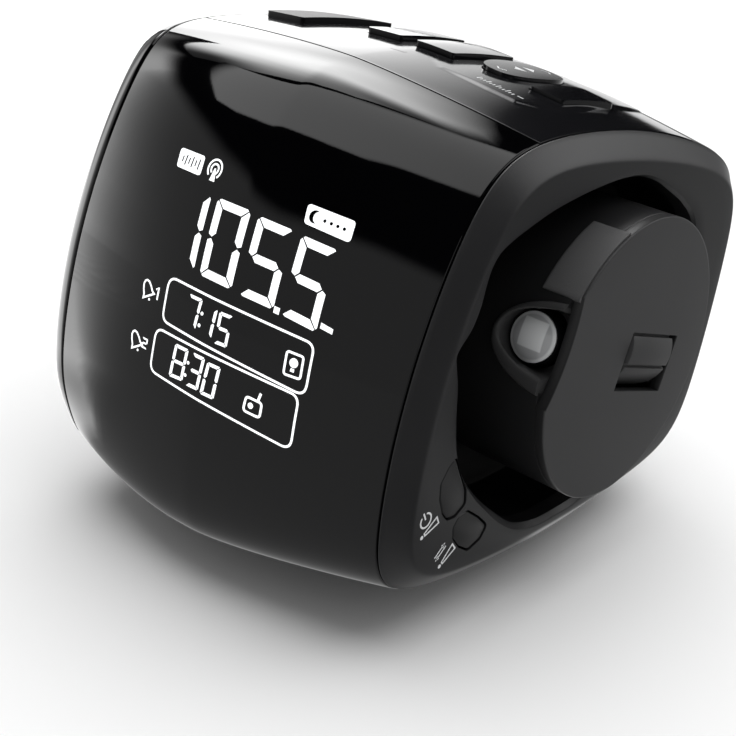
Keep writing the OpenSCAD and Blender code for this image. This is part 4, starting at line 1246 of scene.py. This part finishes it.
world = bpy.data.worlds.new("studio")
bpy.context.scene.world = world
world.use_nodes = True
world.node_tree.nodes["Background"].inputs["Color"].default_value = (1, 1, 1, 1)
world.node_tree.nodes["Background"].inputs["Strength"].default_value = 0.33
world.cycles_visibility.glossy = False


def area(name, at, to, size, power, size_y=None, glossy=True, color=(1, 1, 1)):
    d = bpy.data.lights.new(name, "AREA")
    d.energy, d.color = power, color
    d.shape = "RECTANGLE"
    d.size, d.size_y = size, size_y or size
    o = bpy.data.objects.new(name, d)
    bpy.context.scene.collection.objects.link(o)
    o.location = at
    o.rotation_mode = "QUATERNION"
    o.rotation_quaternion = (Vector(to) - Vector(at)).to_track_quat("-Z", "Y")
    o.visible_glossy = glossy
    return o


def ease(v, lo, hi):
    """0 below lo, 1 above hi, smooth between them; lo may be above hi."""
    return smooth((np.asarray(v, float) - lo) / (hi - lo))


def panel(name, P, level):
    """A soft light panel that only shows in reflections: a grid of points in metres with a brightness at each."""
    m, n, _ = P.shape
    ob = new_object(name, P.reshape(-1, 3), grid_faces(m, n), metres=True)
    at = ob.data.attributes.new("glow", "FLOAT", "POINT")
    at.data.foreach_set("value", np.asarray(level, np.float32).reshape(-1))
    mat = bpy.data.materials.new(name)
    mat.use_nodes = True
    nt = mat.node_tree
    nt.nodes.clear()
    glow = nt.nodes.new("ShaderNodeAttribute")
    glow.attribute_name = "glow"
    em = nt.nodes.new("ShaderNodeEmission")
    out = nt.nodes.new("ShaderNodeOutputMaterial")
    nt.links.new(glow.outputs["Fac"], em.inputs["Strength"])
    nt.links.new(em.outputs["Emission"], out.inputs["Surface"])
    mat.cycles.emission_sampling = "NONE"
    ob.data.materials.append(mat)
    ob.visible_camera = ob.visible_diffuse = ob.visible_shadow = ob.visible_transmission = ob.visible_volume_scatter = False
    return ob


HUB = np.array([0.0, 0.0, 0.06])


def curved(name, az, el0, el1, level, radius=2.0, n=40):
    """A panel bent round the clock; el0 and el1 are (azimuth, elevation) lists, level(az, el) its brightness."""
    A = np.linspace(az[0], az[1], n)
    lo_, hi_ = np.interp(A, *zip(*el0)), np.interp(A, *zip(*el1))
    V = np.linspace(0, 1, n)
    E = lo_[:, None] * (1 - V) + hi_[:, None] * V
    A = np.repeat(A[:, None], n, 1)
    a, e = np.radians(A), np.radians(E)
    P = HUB + radius * np.stack([np.cos(e) * np.cos(a), np.cos(e) * np.sin(a), np.sin(e)], -1)
    return panel(name, P, level(A, E))


# plain white backdrop, far away, which only the view sees
ba, be = np.radians(np.linspace(0, 360, 65)), np.radians(np.linspace(-90, 90, 33))
back = panel("backdrop", 6 * np.stack([np.cos(be)[None, :] * np.cos(ba)[:, None], np.cos(be)[None, :] * np.sin(ba)[:, None], np.sin(be)[None, :] + 0 * ba[:, None]], -1), np.full((65, 33), 1.0))
back.visible_camera, back.visible_glossy = True, False


def between(name, one, two, z, level, m=70, n=40):
    """A level panel overhead between two lists of points in mm; level(along, across)."""
    one, two = np.array(one, float) / 1000, np.array(two, float) / 1000
    k = np.linspace(0, len(one) - 1, m)
    one, two = [np.stack([np.interp(k, np.arange(len(q_)), q_[:, i]) for i in (0, 1)], -1) for q_ in (one, two)]
    V = np.linspace(0, 1, n)[None, :, None]
    P = one[:, None] * (1 - V) + two[:, None] * V
    S, T = np.meshgrid(np.linspace(0, 1, m), np.linspace(0, 1, n), indexing="ij")
    return panel(name, np.concatenate([P, np.full((m, n, 1), z)], -1), level(S, T))


# one panel overhead in front, a large bright one behind on the left, a low one round the left and the front, and one behind on the right
between("panel_over",
        [(-924, -136), (-860, -170), (-780, -190), (-700, -190), (-600, -165), (-480, -110), (-400, -60), (-340, 0), (-290, 80), (-250, 160), (-215, 250), (-205, 340), (-200, 450), (-190, 560), (-100, 600)],
        [(-1017, -291), (-1142, -548), (-1262, -809), (-1168, -881), (-893, -906), (-545, -873), (-423, -851), (-316, -815), (-223, -709), (-159, -653), (-104, -594), (-71, -548), (40, -400), (140, -200), (200, 50)],
        0.9, lambda s_, v: (2.05 - 0.5 * s_ - 0.4 * s_ * v) * ease(s_, 0, 0.1) * ease(1 - v, 0, 0.035) * (1 - 0.6 * ease(s_, 0.45, 0.6) * ease(v, 0.07, 0)))
TOP_EDGE = [(117.5, 50), (119, 56), (121, 61.5), (127, 65.5), (134, 67.8), (150, 68), (170, 67), (180, 63), (186, 55), (190, 46)]


def back_left(a_, e):
    full = np.interp(a_, [117.5, 119, 121, 123, 126, 130, 140, 150, 162, 170, 178, 190], [0, 0.75, 1.7, 2.5, 3.8, 5.6, 8.4, 9.6, 9.4, 7.6, 5.0, 3.5]) * (0.55 + 0.45 * ease(e, 26, 42))
    least = np.interp(a_, [120, 134, 150, 160, 175], [0.05, 0.3, 0.7, 1.6, 2.0])
    t_ = ease((np.interp(a_, *zip(*TOP_EDGE)) - e) / np.interp(a_, [120, 134, 150, 165], [8, 11, 20, 28]), 0, 1)
    v = np.minimum(full, least) + np.maximum(full - least, 0) * t_
    return v * (1 - 0.93 * ease(a_, 172, 185) * ease(e, 22, 30) * ease(e, 50, 40))


curved("panel_back_left", (117.5, 190), [(117, 0), (150, 0), (190, 24)], TOP_EDGE, back_left, n=80)


def low_left(a_, e):
    a0 = np.interp(e, [0, 7, 12, 17, 24], [211.5, 209.7, 207.5, 204.5, 201])
    top_ = np.interp(a_, [190, 198, 206, 213, 222, 245, 257], [35, 31, 26.5, 24.5, 22.5, 21.5, 24])
    return (0.38 + 3.8 * np.exp(-np.maximum(a_ - a0, 0) / 3.0) * (1 - 0.85 * ease(a_, 200, 182))) * ease(top_ - e, -1.2, 2.2) * ease(a_, 299, 285) * ease(a_, 160, 170)


curved("panel_low", (160, 300), [(160, -2), (300, -2)], [(160, 37), (300, 37)], low_left, radius=1.97, n=110)
curved("panel_back_right", (12, 92), [(12, 8), (92, 8)], [(12, 62), (92, 62)], lambda a, e: 1.7 * ease(a, 8, 35) * ease(a, 96, 75) * ease(e, 4, 20) * ease(e, 66, 45))
# what the floor shows in reflections
gx, gy = np.meshgrid(np.concatenate([np.linspace(-1.9, -0.3, 40), np.linspace(-0.29, 0.2, 120), np.linspace(0.22, 1.9, 30)]), np.concatenate([np.linspace(-1.9, -0.3, 40), np.linspace(-0.29, 0.2, 120), np.linspace(0.22, 1.9, 30)]), indexing="ij")
ga = np.degrees(np.arctan2(gy + 0.060, gx + 0.033)) % 360
gd = np.hypot(gy + 0.060, gx + 0.033)
gr_ = np.degrees(np.arctan2(gy, gx - 0.05)) % 360
glow_floor = (0.40 - 0.30 * ease(gr_, 275, 300) + 0.25 * ease(gr_, 335, 358) + 0.2 * ease(gr_, 40, 0)
              + 0.65 * ease(gr_, 75, 100) * ease(gr_, 172, 150) - 0.22 * ease(gr_, 8, 30) * ease(gr_, 82, 66)
              + (1.6 + 2.2 * ease(gd, 0.05, 0.1)) * np.exp(-np.maximum(ga - np.interp(gd, [0.02, 0.035, 0.045, 0.056, 0.1], [187, 199, 203, 206, 210]), 0) / 3.0) * ease(ga, 120, 170) * ease(gd, 0.02, 0.035))
panel("panel_floor", np.stack([gx, gy, np.full_like(gx, -0.002)], -1), glow_floor)

# a broad soft sun for the shading, and a small soft box on the right
sun = bpy.data.objects.new("soft_sun", bpy.data.lights.new("soft_sun", "SUN"))
sun.data.energy, sun.data.angle = 2.8, math.radians(84)
sun.rotation_mode = "QUATERNION"
sun.rotation_quaternion = Vector((0.08, -0.28, -1.0)).to_track_quat("-Z", "Y")
sun.visible_glossy = False
bpy.context.scene.collection.objects.link(sun)
area("right_soft", (0.75, -0.25, 0.75), (0, 0, 0.05), 0.5, 0.35)

sc = bpy.context.scene
sc.view_settings.view_transform = "Standard"
sc.view_settings.look = "None"
